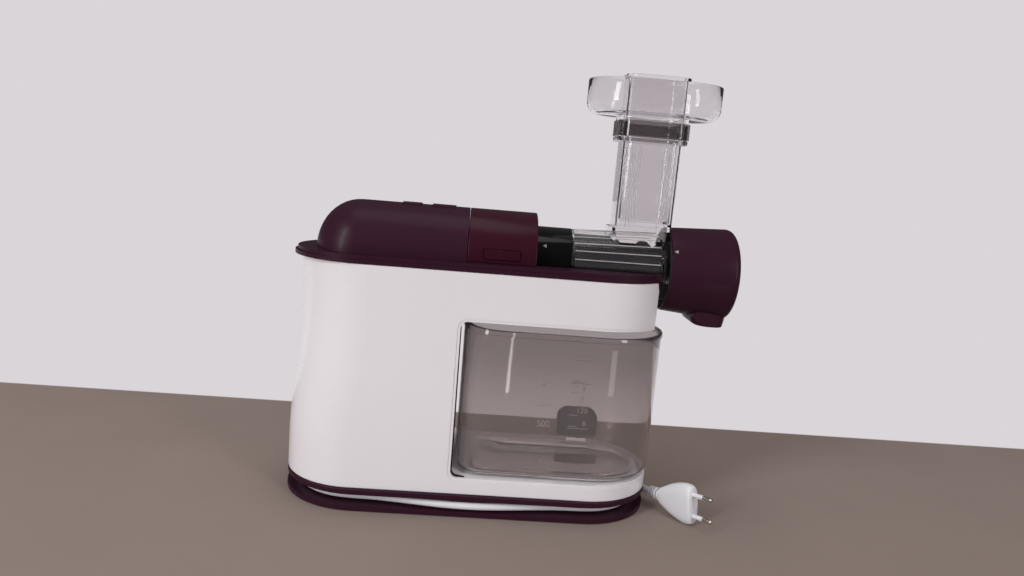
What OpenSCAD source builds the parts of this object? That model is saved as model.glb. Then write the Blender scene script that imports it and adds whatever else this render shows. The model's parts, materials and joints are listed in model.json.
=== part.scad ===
// Slow juicer with a lying drum, a smoked juice jug under it and a cord groove in the base.
// X runs along the machine with the end cap at +X, the front is -Y, and Z is up from the base's underside.

/* [Base] */
// Length of the base
base_len = 318; // [300:1:340]
// Depth of the base
base_depth = 119; // [112:1:126]
// Height of the base up to the white body
base_h = 18; // [16:0.5:22]
// Height of the lower lip of the cord groove
lip_low_h = 4; // [3.5:0.25:5]
// Thickness of the upper lip of the cord groove
lip_top_h = 4.4; // [3:0.2:5]
// How deep the cord groove goes in behind its lips
groove_in = 16; // [14:1:19]
// Diameter of a foot
foot_d = 18; // [12:1:22]
// Height that the feet stand out under the base
foot_h = 1; // [0.5:0.1:2]

/* [Body] */
// Length of the round part of each end of the body
end_len = 60; // [52:1:66]
// Depth of the body at its foot
body_depth = 113; // [108:1:117]
// Height of the underside of the top plate
body_top = 204.5; // [200:0.5:216]
// How far the left end draws in at its waist
waist_in = 7.8; // [2:0.2:10]
// Wall of the white body
body_wall = 3; // [2:0.25:4]
// Where the jug bay starts
bay_x = -15.5; // [-24:0.5:-8]
// Height of the floor of the jug bay
bay_low = 32; // [30:0.5:36]
// Height of the ceiling of the jug bay
bay_top = 164; // [160:0.5:168]
// Flat right end of the body above the bay
top_end_x = 146.5; // [144:0.5:148]
// Wall of the bay liner
liner_wall = 2.4; // [1.6:0.2:3]

/* [Top] */
// Height of each of the two tiers of the top plate
tier_h = 3.2; // [2.5:0.1:4]
// Step between the two tiers
tier_in = 2.2; // [1:0.1:4]
// Radius of the hump and the lock cover
hump_r = 40.8; // [39:0.2:43]
// Wall of the hump and the lock cover
hump_wall = 2.6; // [2:0.1:3.5]
// Length of the round nose of the hump
nose_len = 36; // [28:1:40]
// Left end of the hump
hump_x0 = -142; // [-146:1:-136]
// Right end of the hump, where the lock cover starts
hump_x1 = -15; // [-20:0.5:-10]
// Right end of the lock cover
cover_x1 = 42; // [38:0.5:48]

/* [Drum] */
// Height of the drum's axis over its seat plane, the top of the top plate
axis_rise = 0.1; // [0:0.1:1]
// Radius of the black coupling
coupling_r = 29.8; // [28:0.2:31]
// Right end of the coupling, where the clear barrel starts
barrel_x0 = 72.5; // [68:0.5:78]
// Radius of the barrel at the coupling
barrel_r0 = 29.4; // [28:0.2:30]
// Radius of the barrel at its flange
barrel_r1 = 31.8; // [30.5:0.1:32.4]
// Wall of the barrel and its chute
clear_wall = 2.2; // [1.8:0.1:2.6]
// Left face of the bayonet flange
flange_x = 148; // [147.4:0.2:149]
// Thickness of the bayonet flange
flange_t = 5.6; // [4:0.2:6.2]
// Radius of the bayonet flange
flange_r = 34.6; // [34:0.1:35]

/* [Chute and tray] */
// Where the feed chute stands
chute_x = 132; // [130:0.5:134]
// Width of the chute along the machine
chute_w = 49; // [47:0.5:50]
// Depth of the chute
chute_d = 38; // [36:0.5:41]
// Height of the top of the chute
chute_top = 318; // [300:1:330]
// Length of the tray over all
tray_w = 112; // [100:1:124]
// Depth of the tray over all
tray_d = 76; // [70:1:86]
// Height of the tray's wall
tray_h = 28; // [22:1:34]
// Height of the tray's collar
collar_h = 21; // [18:1:26]
// Length of the pusher's rim
pusher_rim = 54.4; // [52:0.2:58]
// How far the pusher's rim stands over the tray's rim
pusher_rise = 5; // [2:0.5:10]

/* [End cap] */
// Left rim of the end cap
cap_x0 = 155; // [154.4:0.2:157]
// Right face of the end cap
cap_x1 = 211; // [205:1:220]
// Radius of the end cap at its rim
cap_r0 = 36; // [35.8:0.1:37]
// Radius of the end cap at its face
cap_r1 = 39.6; // [38:0.2:41]
// How far the pulp spout reaches below the drum's axis
spout_drop = 45; // [42:0.5:50]
// Width of the pulp spout across the machine
spout_w = 44; // [36:1:52]

/* [Jug] */
// Left end of the juice jug
jug_x0 = -9; // [-11:0.5:-6]
// Right end of the juice jug
jug_x1 = 161; // [156:0.5:164]
// Depth of the juice jug
jug_depth = 107; // [100:1:110]
// Height of the juice jug
jug_h = 126; // [110:1:127]
// Wall of the juice jug
jug_wall = 2.2; // [1.8:0.1:2.8]

/* [Cord] */
// Diameter of the cord
cord_d = 6.2; // [5.4:0.1:6.6]

/* [Drive] */
// Module of the motor stage
module_1 = 1.25; // [1.25]
// Teeth of the motor pinion
pinion_teeth = 14; // [14]
// Teeth of the large idler gear
idler_teeth = 40; // [40]
// Module of the output stage
module_2 = 2; // [2]
// Teeth of the small idler gear
small_teeth = 13; // [13]
// Teeth of the output gear
output_teeth = 22; // [22]
// Width of the motor stage's gears
face_1 = 9; // [7:0.5:10]
// Width of the output stage's gears
face_2 = 12; // [10:0.5:13]
// Radius of the motor's can
motor_r = 34; // [30:0.5:36]
// Length of the motor's can
motor_len = 66; // [56:1:72]
// Radius of the motor's shaft
motor_shaft_r = 4; // [3:0.1:4.4]
// Radius of the idler's shaft
idler_shaft_r = 4; // [3:0.1:4.4]
// Radius of the output shaft
output_shaft_r = 8; // [7:0.2:9]
// Running clearance of shafts in their bores
run_gap = 0.05; // [0.02:0.01:0.1]
// Clearance between parts that slide or lie beside each other
part_gap = 0.4; // [0.3:0.05:0.6]

/* [Hidden] */
$fn = 64;
over = 1;
plate_top = body_top + 2 * tier_h;
axis_z = plate_top + axis_rise;
half_len = base_len / 2;
body_hd = body_depth / 2;
base_hd = base_depth / 2;
base_end = end_len + base_hd - body_hd;
plate_hd = body_hd - tier_in / 2;
groove_top = base_h - lip_top_h;
waist_low = 50;
waist_z = bay_top;
plum = [0.23, 0.13, 0.17];
burgundy = [0.30, 0.11, 0.17];
white = [0.90, 0.88, 0.89];
clear = [0.85, 0.88, 0.90, 0.45];
smoke = [0.45, 0.43, 0.43, 0.45];
steel = [0.72, 0.72, 0.74];
black = [0.06, 0.06, 0.07];
charcoal = [0.14, 0.14, 0.15];

// Points of an outline with straight sides and elliptical ends, anticlockwise from above
function oval_pts(x0, x1, a0, a1, hd, n = 24) = concat(
  [for (i = [0:n]) let (t = 180 * i / n - 90) [x1 - a1 + a1 * cos(t), hd * sin(t)]],
  [for (i = [0:n]) let (t = 180 * i / n + 90) [x0 + a0 + a0 * cos(t), hd * sin(t)]]);
// The same outline about the middle, drawn in on every side
function ring_pts(hl, a, hd, inset = 0) =
  oval_pts(inset - hl, hl - inset, a - inset, a - inset, hd - inset);
// How far the left end draws in at a height
function waist(z) = let (t = min(1, max(0, (z - waist_low) / (waist_z - waist_low))),
  u = max(0, (z - waist_z) / (body_top - waist_z))) waist_in * (t * t * (3 - 2 * t) - u * u / 4);
// Corner points of a rounded rectangle centred on the origin
function soft_rect(w, d, r, n = 6) = [for (q = [0:3]) for (i = [0:n])
  let (t = 90 * (q + i / n), sx = (q == 0 || q == 3) ? 1 : -1, sy = q < 2 ? 1 : -1)
  [sx * (w / 2 - r) + r * cos(t), sy * (d / 2 - r) + r * sin(t)]];
function at_z(pts, z) = [for (p = pts) [p[0], p[1], z]];
function level(k, n, z0, z1) = z0 + (z1 - z0) * k / n;

// A closed skin through rings of points, from the lowest ring up
module loft(rings) {
  n = len(rings[0]);
  m = len(rings);
  polyhedron(points = [for (r = rings) each r], faces = concat(
    [[for (i = [0:n - 1]) i]],
    [for (k = [0:m - 2]) for (i = [0:n - 1]) [k * n + i, (k + 1) * n + i, (k + 1) * n + (i + 1) % n]],
    [for (k = [0:m - 2]) for (i = [0:n - 1]) [k * n + i, (k + 1) * n + (i + 1) % n, k * n + (i + 1) % n]],
    [[for (i = [n - 1:-1:0]) (m - 1) * n + i]]));
}
// A cylinder along X
module rod_x(x0, x1, r, r_end = 0) translate([x0, 0, 0]) rotate([0, 90, 0])
  cylinder(h = x1 - x0, r1 = r, r2 = r_end > 0 ? r_end : r);
// A tube along X
module tube_x(x0, x1, r, bore) difference() {
  rod_x(x0, x1, r);
  rod_x(x0 - over, x1 + over, bore);
}
module at_axis() translate([0, 0, axis_z]) children();
// A box from its lowest and highest corners
module span(low, high) translate(low) cube(high - low);

// The white body's outer skin, drawn in by an inset
body_levels = 13;
module body_skin(inset, z0, z1) loft([for (k = [0:body_levels]) let (z = level(k, body_levels, z0, z1))
  at_z(oval_pts(waist(z) + inset - half_len, half_len - inset, end_len - inset, end_len - inset,
    body_hd - inset - waist(z) / 4), z)]);
// The jug bay seen from the front, grown on all sides, through the machine
bay_corner = 6;
module bay_space(grow) {
  w = base_len;
  translate([bay_x - grow, base_depth, bay_low - grow]) rotate([90, 0, 0]) linear_extrude(2 * base_depth)
    translate([w / 2, (bay_top - bay_low) / 2 + grow])
      polygon(soft_rect(w, bay_top - bay_low + 2 * grow, bay_corner + grow));
}

// Lower plate of the base with its cord lip
module base_plate() color(plum) difference() {
  union() {
    linear_extrude(lip_low_h) polygon(ring_pts(half_len, base_end, base_hd));
    linear_extrude(groove_z0 + rib_h)
      difference() {
        polygon(ring_pts(half_len, base_end, base_hd, groove_in + spool_wall + part_gap));
        polygon(ring_pts(half_len, base_end, base_hd, groove_in + 2 * spool_wall + part_gap));
      }
  }
  feet_places() translate([0, 0, -over]) cylinder(h = over + foot_pocket, r = foot_d / 2 + part_gap);
  base_screw_places() translate([0, 0, -over]) {
    cylinder(h = lip_low_h + 2 * over, r = screw_r + part_gap);
    cylinder(h = over + screw_head_h, r = screw_head_r + part_gap);
  }
}
groove_z0 = lip_low_h;
rib_h = 3;
spool_wall = 2.4;
foot_pocket = 1.2;
foot_in = 34;
screw_r = 1.5;
screw_head_r = 3;
screw_head_h = 1.8;
module feet_places() for (sx = [-1, 1]) for (sy = [-1, 1])
  translate([sx * (half_len - foot_in - foot_d), sy * (base_hd - foot_in + foot_d / 2), 0]) children();
module base_screw_places() for (sx = [-1, 1]) for (sy = [-1, 1])
  translate([sx * (half_len - 2 * foot_in), sy * (base_hd - foot_in), 0]) children();

// Wall of the cord groove, its upper lip and the deck that the machine stands on
module cord_spool() color(plum) difference() {
  union() {
    translate([0, 0, groove_z0]) linear_extrude(groove_top - groove_z0)
      polygon(ring_pts(half_len, base_end, base_hd, groove_in));
    translate([0, 0, groove_top]) linear_extrude(lip_top_h) polygon(ring_pts(half_len, base_end, base_hd));
    // The rib inside the body's foot
    translate([0, 0, base_h]) linear_extrude(rib_h) difference() {
      polygon(ring_pts(half_len, end_len, body_hd, body_wall + part_gap));
      polygon(ring_pts(half_len, end_len, body_hd, 2 * body_wall + part_gap));
    }
  }
  translate([0, 0, groove_z0 - over]) linear_extrude(groove_top - groove_z0 + over)
    difference() {
      polygon(ring_pts(half_len, base_end, base_hd, groove_in + spool_wall));
      base_screw_places() circle(r = 2 * screw_head_r);
    }
  base_screw_places() translate([0, 0, groove_z0 - over]) cylinder(h = screw_len, r = screw_r);
  // Where the cord comes out of the base into its groove
  translate([gland_x, base_hd - groove_in - spool_wall / 2, cord_z]) rotate([90, 0, 0])
    cylinder(h = 3 * spool_wall, r = gland_r, center = true);
  // Where the leads go up into the body
  translate([gland_x, base_hd - 2 * groove_in - gland_r, groove_top - over])
    cylinder(h = lip_top_h + 2 * over, r = gland_r);
}
screw_len = 9;
gland_x = -46;
gland_r = 4.4;
cord_z = 9;

module rubber_feet() color(black) feet_places() translate([0, 0, -foot_h])
  cylinder(h = foot_h + foot_pocket, r = foot_d / 2);

module base_screws() color(steel) base_screw_places() {
  cylinder(h = screw_len, r = screw_r - run_gap);
  translate([0, 0, part_gap]) cylinder(h = screw_head_h - part_gap, r = screw_head_r);
}

// White outer body, open at the jug bay
module body_shell() color(white) difference() {
  union() {
    difference() {
      body_skin(0, base_h, body_top);
      intersection() {
        body_skin(body_wall, base_h - over, body_top + over);
        span([-base_len, -base_depth, 0], [top_end_x - body_wall, base_depth, 2 * body_top]);
      }
    }
    // Ears that the top cover's screws pull on
    intersection() {
      body_skin(body_wall / 2, base_h, body_top);
      cover_screw_places() span([-ear_w / 2, -ear_w / 2, body_top - ear_h],
        [ear_w / 2, base_depth, body_top]);
    }
  }
  cover_screw_places() translate([0, 0, body_top - ear_h - over])
    cylinder(h = ear_h + 2 * over, r = screw_r + part_gap);
  // The floor strip under the bay is hollow to its right end
  intersection() {
    body_skin(body_wall, base_h - over, body_top + over);
    span([0, -base_depth, 0], [base_len, base_depth, bay_top]);
  }
  bay_space(liner_wall);
  span([top_end_x, -base_depth, bay_top], [base_len, base_depth, 2 * body_top]);
  // Trough of the drum through the flat right end
  at_axis() rod_x(top_end_x - 2 * body_wall, base_len, trough_r + trough_wall + part_gap);
}
ear_w = 8;
ear_h = 3;
trough_r = 33.4;
trough_wall = 2.4;

// Liner of the jug bay: its left wall, ceiling and floor
module bay_liner() color(white) difference() {
  intersection() {
    body_skin(part_gap, base_h, body_top);
    bay_space(liner_wall);
    span([-base_len, -base_depth, bay_low - liner_wall], [base_len, base_depth, bay_top + liner_wall]);
  }
  bay_space(0);
  span([top_end_x, -base_depth, bay_low + over], [base_len, base_depth, 2 * body_top]);
  translate([drain_x, 0, bay_top - over]) cylinder(h = liner_wall + 2 * over, r = drain_r + part_gap);
}
drain_x = 88;
drain_r = 9;

// Plate over the body, with the hump over the drive and an opening for the drum
module top_cover() color(plum) difference() {
  union() {
    plate_tier(0, body_top);
    plate_tier(tier_in, body_top + tier_h);
    intersection() {
      hump_solid(0);
      span([-base_len, -base_depth, plate_top - over], [base_len, base_depth, 2 * body_top]);
    }
    hinge_lugs();
  }
  // Hollow of the plate and the hump
  difference() {
    translate([0, 0, body_top - over]) linear_extrude(2 * tier_h - hump_wall + over)
      polygon(ring_pts(half_len, end_len, plate_hd, 2 * tier_in + hump_wall));
    span([top_end_x - hump_wall, -base_depth, 0], [base_len, base_depth, 2 * body_top]);
    cover_screw_places() cylinder(h = 2 * axis_z, r = 2 * screw_head_r);
  }
  intersection() {
    hump_solid(hump_wall);
    span([-base_len, -base_depth, 0], [hump_x1 - hump_wall, base_depth, 2 * body_top]);
  }
  // Opening for the cradle, and the open right end
  span([hump_x1 - hump_wall, -cradle_r, 0], [hump_x1 + over, cradle_r, plate_top]);
  span([hump_x1, -cradle_r, 0], [base_len, cradle_r, 2 * body_top]);
  span([top_end_x, -base_depth, 0], [base_len, base_depth, 2 * body_top]);
  // The shaft's housing goes through the end wall of the hump
  at_axis() rod_x(hump_x1 - 2 * hump_wall, hump_x1 + over, housing_r + part_gap);
  button_place(power_x, power_len) button_block(power_len + 2 * part_gap, button_w + 2 * part_gap, 0);
  button_place(reverse_x, reverse_len) button_block(reverse_len + 2 * part_gap, button_w + 2 * part_gap, 0);
  translate([0, hinge_y, hinge_z]) rod_x(-base_len, base_len, pin_r + run_gap);
  cover_screw_places() translate([0, 0, body_top - over]) cylinder(h = screw_len - 2 * over, r = screw_r);
}
cradle_r = trough_r + trough_wall;
cradle_flange_x1 = 128;
// A cylinder along the drum's axis with its seam on top
module cradle_rod(x0, x1, r) at_axis() rotate([180, 0, 0]) rod_x(x0, x1, r);
// Half-round cradle under the drum, with flanges under the plate
module drum_cradle() color(plum) difference() {
  union() {
    intersection() {
      cradle_rod(hump_x1 - hump_wall, top_end_x, cradle_r - run_gap);
      span([-base_len, -base_depth, 0], [base_len, base_depth, plate_top]);
    }
    span([hump_x1 - hump_wall, -cradle_r - trough_wall, plate_top - hump_wall - trough_wall],
      [cradle_flange_x1, cradle_r + trough_wall, plate_top - hump_wall]);
  }
  difference() {
    cradle_rod(hump_x1, base_len, trough_r);
    // Saddle under the barrel's right end
    intersection() {
      difference() {
        cradle_rod(saddle_x, saddle_x + saddle_t, trough_r + over);
        cradle_rod(saddle_x - over, saddle_x + saddle_t + over, barrel_r1 + slide_gap);
      }
      span([0, -base_depth, 0], [base_len, base_depth, axis_z - part_gap]);
    }
  }
  cradle_rod(hump_x1 - 2 * hump_wall, hump_x1 + over, housing_r + part_gap);
  translate([drain_x, 0, 0]) cylinder(h = axis_z, r = drain_r - clear_wall);
}
module plate_tier(inset, z) translate([0, 0, z]) linear_extrude(tier_h)
  polygon(ring_pts(half_len + plate_over, end_len + plate_over, plate_hd, inset));
plate_over = 0.6;
saddle_x = 138;
saddle_t = 3;
slide_gap = 0.3;
housing_r = 20;
module hump_solid(inset) translate([0, 0, axis_z]) rotate([0, 90, 0]) rotate_extrude()
  polygon(concat([[0, hump_x1], [hump_r - inset, hump_x1]],
    [for (i = [0:nose_steps]) let (t = 90 * i / nose_steps) [(hump_r - inset) * cos(t),
      hump_x0 + nose_len - (nose_len - inset) * sin(t)]]));
nose_steps = 12;
cover_screw_share = 0.7;
module cover_screw_places() for (sx = [-1, 1]) for (sy = [-1, 1])
  translate([sx * cover_screw_share * half_len, sy * (body_hd - 4 * screw_head_r), 0])
    mirror([0, sy < 0 ? 1 : 0, 0]) children();
module cover_screws() color(steel) cover_screw_places() translate([0, 0, body_top - ear_h - screw_head_h]) {
  cylinder(h = screw_len - 2 * over, r = screw_r - run_gap);
  cylinder(h = screw_head_h, r = screw_head_r);
}

// Hinge of the lock cover at the back
hinge_out = 3.4;
hinge_y = hump_r + hinge_out;
knuckle_r = 3;
pin_r = 1.5;
hinge_z = plate_top + knuckle_r + part_gap;
lug_len = 8;
module hinge_lugs() for (x = [hump_x1 + part_gap, cover_x1 - part_gap - lug_len]) translate([x, 0, 0]) {
  translate([0, hinge_y, hinge_z]) rod_x(0, lug_len, knuckle_r);
  span([0, hinge_y - knuckle_r, plate_top - over], [lug_len, hinge_y + knuckle_r, hinge_z]);
}
module hinge_pin() color(steel) translate([0, hinge_y, hinge_z])
  rod_x(hump_x1 + 2 * part_gap, cover_x1 - 2 * part_gap, pin_r);

// Burgundy half-round cover that locks the drum on its drive
latch_x0 = -1.5;
latch_x1 = 28;
latch_z0 = 3;
latch_z1 = 11;
module lock_cover() color(burgundy) difference() {
  union() {
    at_axis() intersection() {
      tube_x(hump_x1 + part_gap, cover_x1, hump_r, hump_r - hump_wall);
      span([-base_len, -base_depth, part_gap], [base_len, base_depth, base_depth]);
    }
    translate([0, hinge_y, hinge_z])
      rod_x(hump_x1 + 2 * part_gap + lug_len, cover_x1 - 2 * part_gap - lug_len, knuckle_r);
    span([hump_x1 + 2 * part_gap + lug_len, hump_r - hump_wall, hinge_z - hump_wall / 2],
      [cover_x1 - 2 * part_gap - lug_len, hinge_y, hinge_z + hump_wall / 2]);
  }
  translate([0, hinge_y, hinge_z]) rod_x(-base_len, base_len, pin_r + run_gap);
  at_axis() span([latch_x0 - part_gap, -base_depth, latch_z0 - part_gap],
    [latch_x1 + part_gap, 0, latch_z1 + part_gap]);
}
// Push latch at the cover's front, with its tongue behind the wall
latch_proud = 0.8;
module latch_button() color(burgundy) at_axis() {
  span([latch_x0, -hump_r - latch_proud, latch_z0], [latch_x1, -hump_r + hump_wall, latch_z1]);
  span([latch_x0 + hump_wall, -hump_r + hump_wall - part_gap, latch_z0],
    [latch_x1 - hump_wall, -hump_r + 2 * hump_wall, latch_z1 - 2 * hump_wall]);
}
coil_steps = 8;
module coil(r, wire, height, turns, sides = 6) {
  steps = turns * coil_steps;
  function spot(k, j) = let (a = 360 * k * turns / steps, b = 360 * j / sides)
    [(r + wire * cos(b)) * cos(a), (r + wire * cos(b)) * sin(a), height * k / steps + wire * sin(b)];
  polyhedron(points = [for (k = [0:steps]) for (j = [0:sides - 1]) spot(k, j)],
    faces = concat([[for (j = [0:sides - 1]) j]],
      [for (k = [0:steps - 1]) for (j = [0:sides - 1])
        [k * sides + j, (k + 1) * sides + j, (k + 1) * sides + (j + 1) % sides]],
      [for (k = [0:steps - 1]) for (j = [0:sides - 1])
        [k * sides + j, (k + 1) * sides + (j + 1) % sides, k * sides + (j + 1) % sides]],
      [[for (j = [sides - 1:-1:0]) steps * sides + j]]));
}
spring_wire = 0.4;

// Buttons on top of the hump
power_x = -47;
power_len = 20;
reverse_x = -72;
reverse_len = 16;
button_w = 17;
button_proud = 1;
button_skin = 4;
module button_place(x, length) translate([x + length / 2, 0, axis_z]) children();
// A block that follows the hump's curve, from under its wall to just over it
module button_block(length, width, rise) intersection() {
  rod_x(-length / 2, length / 2, hump_r + rise + (rise > 0 ? 0 : over));
  span([-length / 2, -width / 2, hump_r - hump_wall - button_skin], [length / 2, width / 2, 2 * hump_r]);
}
module power_button() color(plum)
  button_place(power_x, power_len) button_block(power_len, button_w, button_proud);
module reverse_button() color(plum)
  button_place(reverse_x, reverse_len) button_block(reverse_len, button_w, button_proud);
spring_h = 3.4;
switch_h = 3;
switch_top = hump_r - hump_wall - button_skin - spring_h - 2 * spring_wire - part_gap / 2;
spring_r = 2.4;
spring_turns = 4;
module button_spring(x, length) color(steel) button_place(x, length)
  translate([0, 0, switch_top + spring_wire + part_gap / 4])
    coil(spring_r, spring_wire, spring_h, spring_turns);
module power_spring() button_spring(power_x, power_len);
module reverse_spring() button_spring(reverse_x, reverse_len);
switch_w = 24;
module switch_block() color(black) translate([0, 0, axis_z]) {
  span([reverse_x, -switch_w / 2, switch_top - switch_h], [power_x + power_len, switch_w / 2, switch_top]);
  // Two struts carry it from the hump's wall
  for (x = [reverse_x + reverse_len / 2, power_x + power_len / 2]) for (sy = [-1, 1])
    span([x - 2 * over, sy * switch_w / 2 - (sy < 0 ? strut : 0), switch_top - switch_h],
      [x + 2 * over, sy * switch_w / 2 + (sy > 0 ? strut : 0), switch_top - over]);
}
strut = sqrt(pow(hump_r - hump_wall - part_gap, 2) - pow(switch_top, 2)) - switch_w / 2;

// Drive: motor low in the body, two spur stages, and the output shaft on the drum's axis
stage_gap = 1.5;
plate_t = 3;
gear_x0 = -52;
gear1_x0 = gear_x0 + 2 * stage_gap;
gear2_x0 = gear1_x0 + face_1 + stage_gap;
cover_plate_x = gear2_x0 + face_2 + 2 * stage_gap;
idler_z = axis_z - module_2 * (small_teeth + output_teeth) / 2;
motor_z = idler_z - module_1 * (pinion_teeth + idler_teeth) / 2;
bush_wall = 2;
bush_flange = 2;
// Outline of a spur gear: a tooth points along +X
tooth_root_share = 0.28;
tooth_pitch_share = 0.21;
tooth_tip_share = 0.11;
root_depth = 1.2;
tip_height = 0.85;
module gear_outline(m, teeth) {
  step = 360 / teeth;
  r = m * teeth / 2;
  polygon([for (i = [0:teeth - 1]) for (p = [[-tooth_root_share, r - root_depth * m], [-tooth_pitch_share, r],
    [-tooth_tip_share, r + tip_height * m], [tooth_tip_share, r + tip_height * m], [tooth_pitch_share, r],
    [tooth_root_share, r - root_depth * m]]) p[1] * [cos(step * (i + p[0])), sin(step * (i + p[0]))]]);
}
// A gear with its bore along X, turned so that a tooth points at an angle from +Y towards +Z
module gear_x(x, face, m, teeth, bore, turn) translate([x, 0, 0]) rotate([turn, 0, 0]) rotate([90, 0, 90])
  difference() {
    linear_extrude(face) gear_outline(m, teeth);
    translate([0, 0, -over]) cylinder(h = face + 2 * over, r = bore);
  }
module at_motor() translate([0, 0, motor_z]) children();
module at_idler() translate([0, 0, idler_z]) children();

motor_x1 = gear_x0 - plate_t;
motor_x0 = motor_x1 - motor_len;
motor_wall = 2;
bell_t = 5;
bearing_r = 8;
bearing_w = 5;
module motor_can() color(steel) difference() {
  at_motor() difference() {
    rod_x(motor_x0, motor_x1, motor_r);
    rod_x(motor_x0 - over, motor_x1 - motor_wall, motor_r - motor_wall);
    rod_x(motor_x0, motor_x1 + over, bearing_r);
  }
  motor_screw_places() rod_x(motor_x1 - 2 * motor_wall, gear_x0, screw_r);
}
module motor_end_bell() color(black) at_motor() difference() {
  union() {
    rod_x(motor_x0 - bell_t, motor_x0, motor_r);
    tube_x(motor_x0, motor_x0 + bearing_w, bearing_r + bush_wall, bearing_r);
  }
  rod_x(motor_x0 - bell_t - over, motor_x0 + bearing_w + over, bearing_r);
}
fan_x1 = motor_x0 - bell_t - stage_gap;
fan_len = 8;
armature_gap = 8;
module motor_shaft() color(steel) at_motor() {
  rod_x(fan_x1 - fan_len, gear1_x0 + face_1, motor_shaft_r);
  rod_x(motor_x0 + armature_gap + bearing_w, motor_x1 - armature_gap - bearing_w,
    motor_r - motor_wall - stage_gap);
  gear_x(gear1_x0, face_1, module_1, pinion_teeth, 0, 90);
}
fan_blades = 9;
module motor_fan() color(black) at_motor() difference() {
  union() {
    rod_x(fan_x1 - fan_len, fan_x1, motor_shaft_r + bush_wall);
    rod_x(fan_x1 - bush_wall, fan_x1, motor_r - 2 * bush_wall);
    for (i = [0:fan_blades - 1]) rotate([360 * i / fan_blades, 0, 0])
      span([fan_x1 - fan_len, -stage_gap / 2, motor_shaft_r],
        [fan_x1, stage_gap / 2, motor_r - 2 * bush_wall]);
  }
  rod_x(fan_x1 - fan_len - over, fan_x1 + over, motor_shaft_r);
}
module motor_bearings() color(steel) at_motor()
  for (x = [motor_x0, motor_x1 - bearing_w]) tube_x(x, x + bearing_w, bearing_r, motor_shaft_r + run_gap);
motor_screw_pcr = 24;
module motor_screw_places() at_motor() for (i = [0:3]) rotate([45 + 90 * i, 0, 0])
  translate([0, 0, motor_screw_pcr]) children();
module motor_screws() color(steel) motor_screw_places() {
  rod_x(motor_x1 - motor_wall, gear_x0, screw_r);
  rod_x(gear_x0, gear_x0 + screw_head_h, screw_head_r);
}

// Upright plate that stands on the deck and carries the motor and the rear ends of the shafts
gear_plate_w = 78;
gear_cover_wall = 2;
gear_head_r = module_2 * output_teeth / 2 + module_2 + gear_cover_wall + part_gap;
module gear_plate_outline() {
  translate([-gear_plate_w / 2, base_h]) square([gear_plate_w, body_top - base_h]);
  translate([0, axis_z]) circle(r = gear_head_r);
}
module gear_plate() color(steel) difference() {
  translate([gear_x0 - plate_t, 0, 0]) rotate([90, 0, 90]) linear_extrude(plate_t) gear_plate_outline();
  translate([0, lead_y, lead_z]) rod_x(-base_len, 0, gland_r);
  at_motor() rod_x(-base_len, 0, bearing_r + bush_wall);
  at_idler() rod_x(-base_len, 0, idler_shaft_r);
  at_axis() rod_x(-base_len, 0, output_shaft_r + bush_wall);
  motor_screw_places() rod_x(-base_len, 0, screw_r);
  gearbox_screw_places() rod_x(-base_len, 0, screw_r);
}
gear_cover_drop = 30;
gear_cover_low = motor_z - gear_cover_drop;
module gearbox_screw_places() for (z = [gear_cover_low + 2 * screw_head_r, body_top - 2 * screw_head_r])
  for (sy = [-1, 1]) translate([0, sy * (gear_plate_w / 2 - screw_r - gear_cover_wall), z]) children();
// Cover over the gears, with its rim on the upright plate
module gear_cover() color(plum) difference() {
  intersection() {
    translate([gear_x0, 0, 0]) rotate([90, 0, 90]) linear_extrude(cover_plate_x + plate_t - gear_x0)
      gear_plate_outline();
    span([-base_depth, -base_depth, gear_cover_low], [base_depth, base_depth, 2 * axis_z]);
  }
  difference() {
    translate([gear_x0 - over, 0, 0]) rotate([90, 0, 90]) linear_extrude(cover_plate_x + over - gear_x0) {
      translate([gear_cover_wall - gear_plate_w / 2, gear_cover_low + gear_cover_wall])
        square([gear_plate_w - 2 * gear_cover_wall, body_top - gear_cover_low - 2 * gear_cover_wall]);
      translate([0, axis_z]) circle(r = gear_head_r - gear_cover_wall);
    }
    gearbox_screw_places() rod_x(gear_x0, 0, screw_r + gear_cover_wall / 2);
  }
  at_idler() rod_x(cover_plate_x - over, 0, idler_shaft_r);
  at_axis() rod_x(cover_plate_x - over, 0, output_shaft_r + 2 * part_gap);
  gearbox_screw_places() rod_x(-base_len, 0, screw_r);
}
module gearbox_screws() color(steel) gearbox_screw_places() {
  rod_x(motor_x1, cover_plate_x + plate_t, screw_r - run_gap);
  rod_x(cover_plate_x + plate_t, cover_plate_x + plate_t + screw_head_h, screw_head_r);
}
// Large and small idler gears in one piece
module idler_gear() color("ivory") at_idler() {
  gear_x(gear1_x0, face_1, module_1, idler_teeth, idler_shaft_r + run_gap, -90 + 180 / idler_teeth);
  difference() {
    union() {
      rod_x(gear1_x0 + face_1, gear2_x0, small_teeth * module_2 / 2 - root_depth * module_2);
      gear_x(gear2_x0, face_2, module_2, small_teeth, 0, 90);
    }
    rod_x(gear1_x0, gear2_x0 + face_2 + over, idler_shaft_r + run_gap);
  }
}
module idler_shaft() color(steel) at_idler() rod_x(motor_x1, cover_plate_x + plate_t, idler_shaft_r);
module output_gear() color("ivory") at_axis()
  gear_x(gear2_x0, face_2, module_2, output_teeth, output_shaft_r, -90 + 180 / output_teeth);
hex_r = 6.2;
hex_x0 = 20;
hex_x1 = 50;
module output_shaft() color(steel) at_axis() {
  rod_x(motor_x1 - bush_flange, hex_x0, output_shaft_r);
  translate([hex_x0, 0, 0]) rotate([0, 90, 0]) cylinder(h = hex_x1 - hex_x0, r = hex_r, $fn = 6);
}
seal_w = 4;
bush2_x0 = hump_x1 + 2 * bush_wall;
bush2_x1 = hex_x0 - bush_wall - seal_w;

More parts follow.
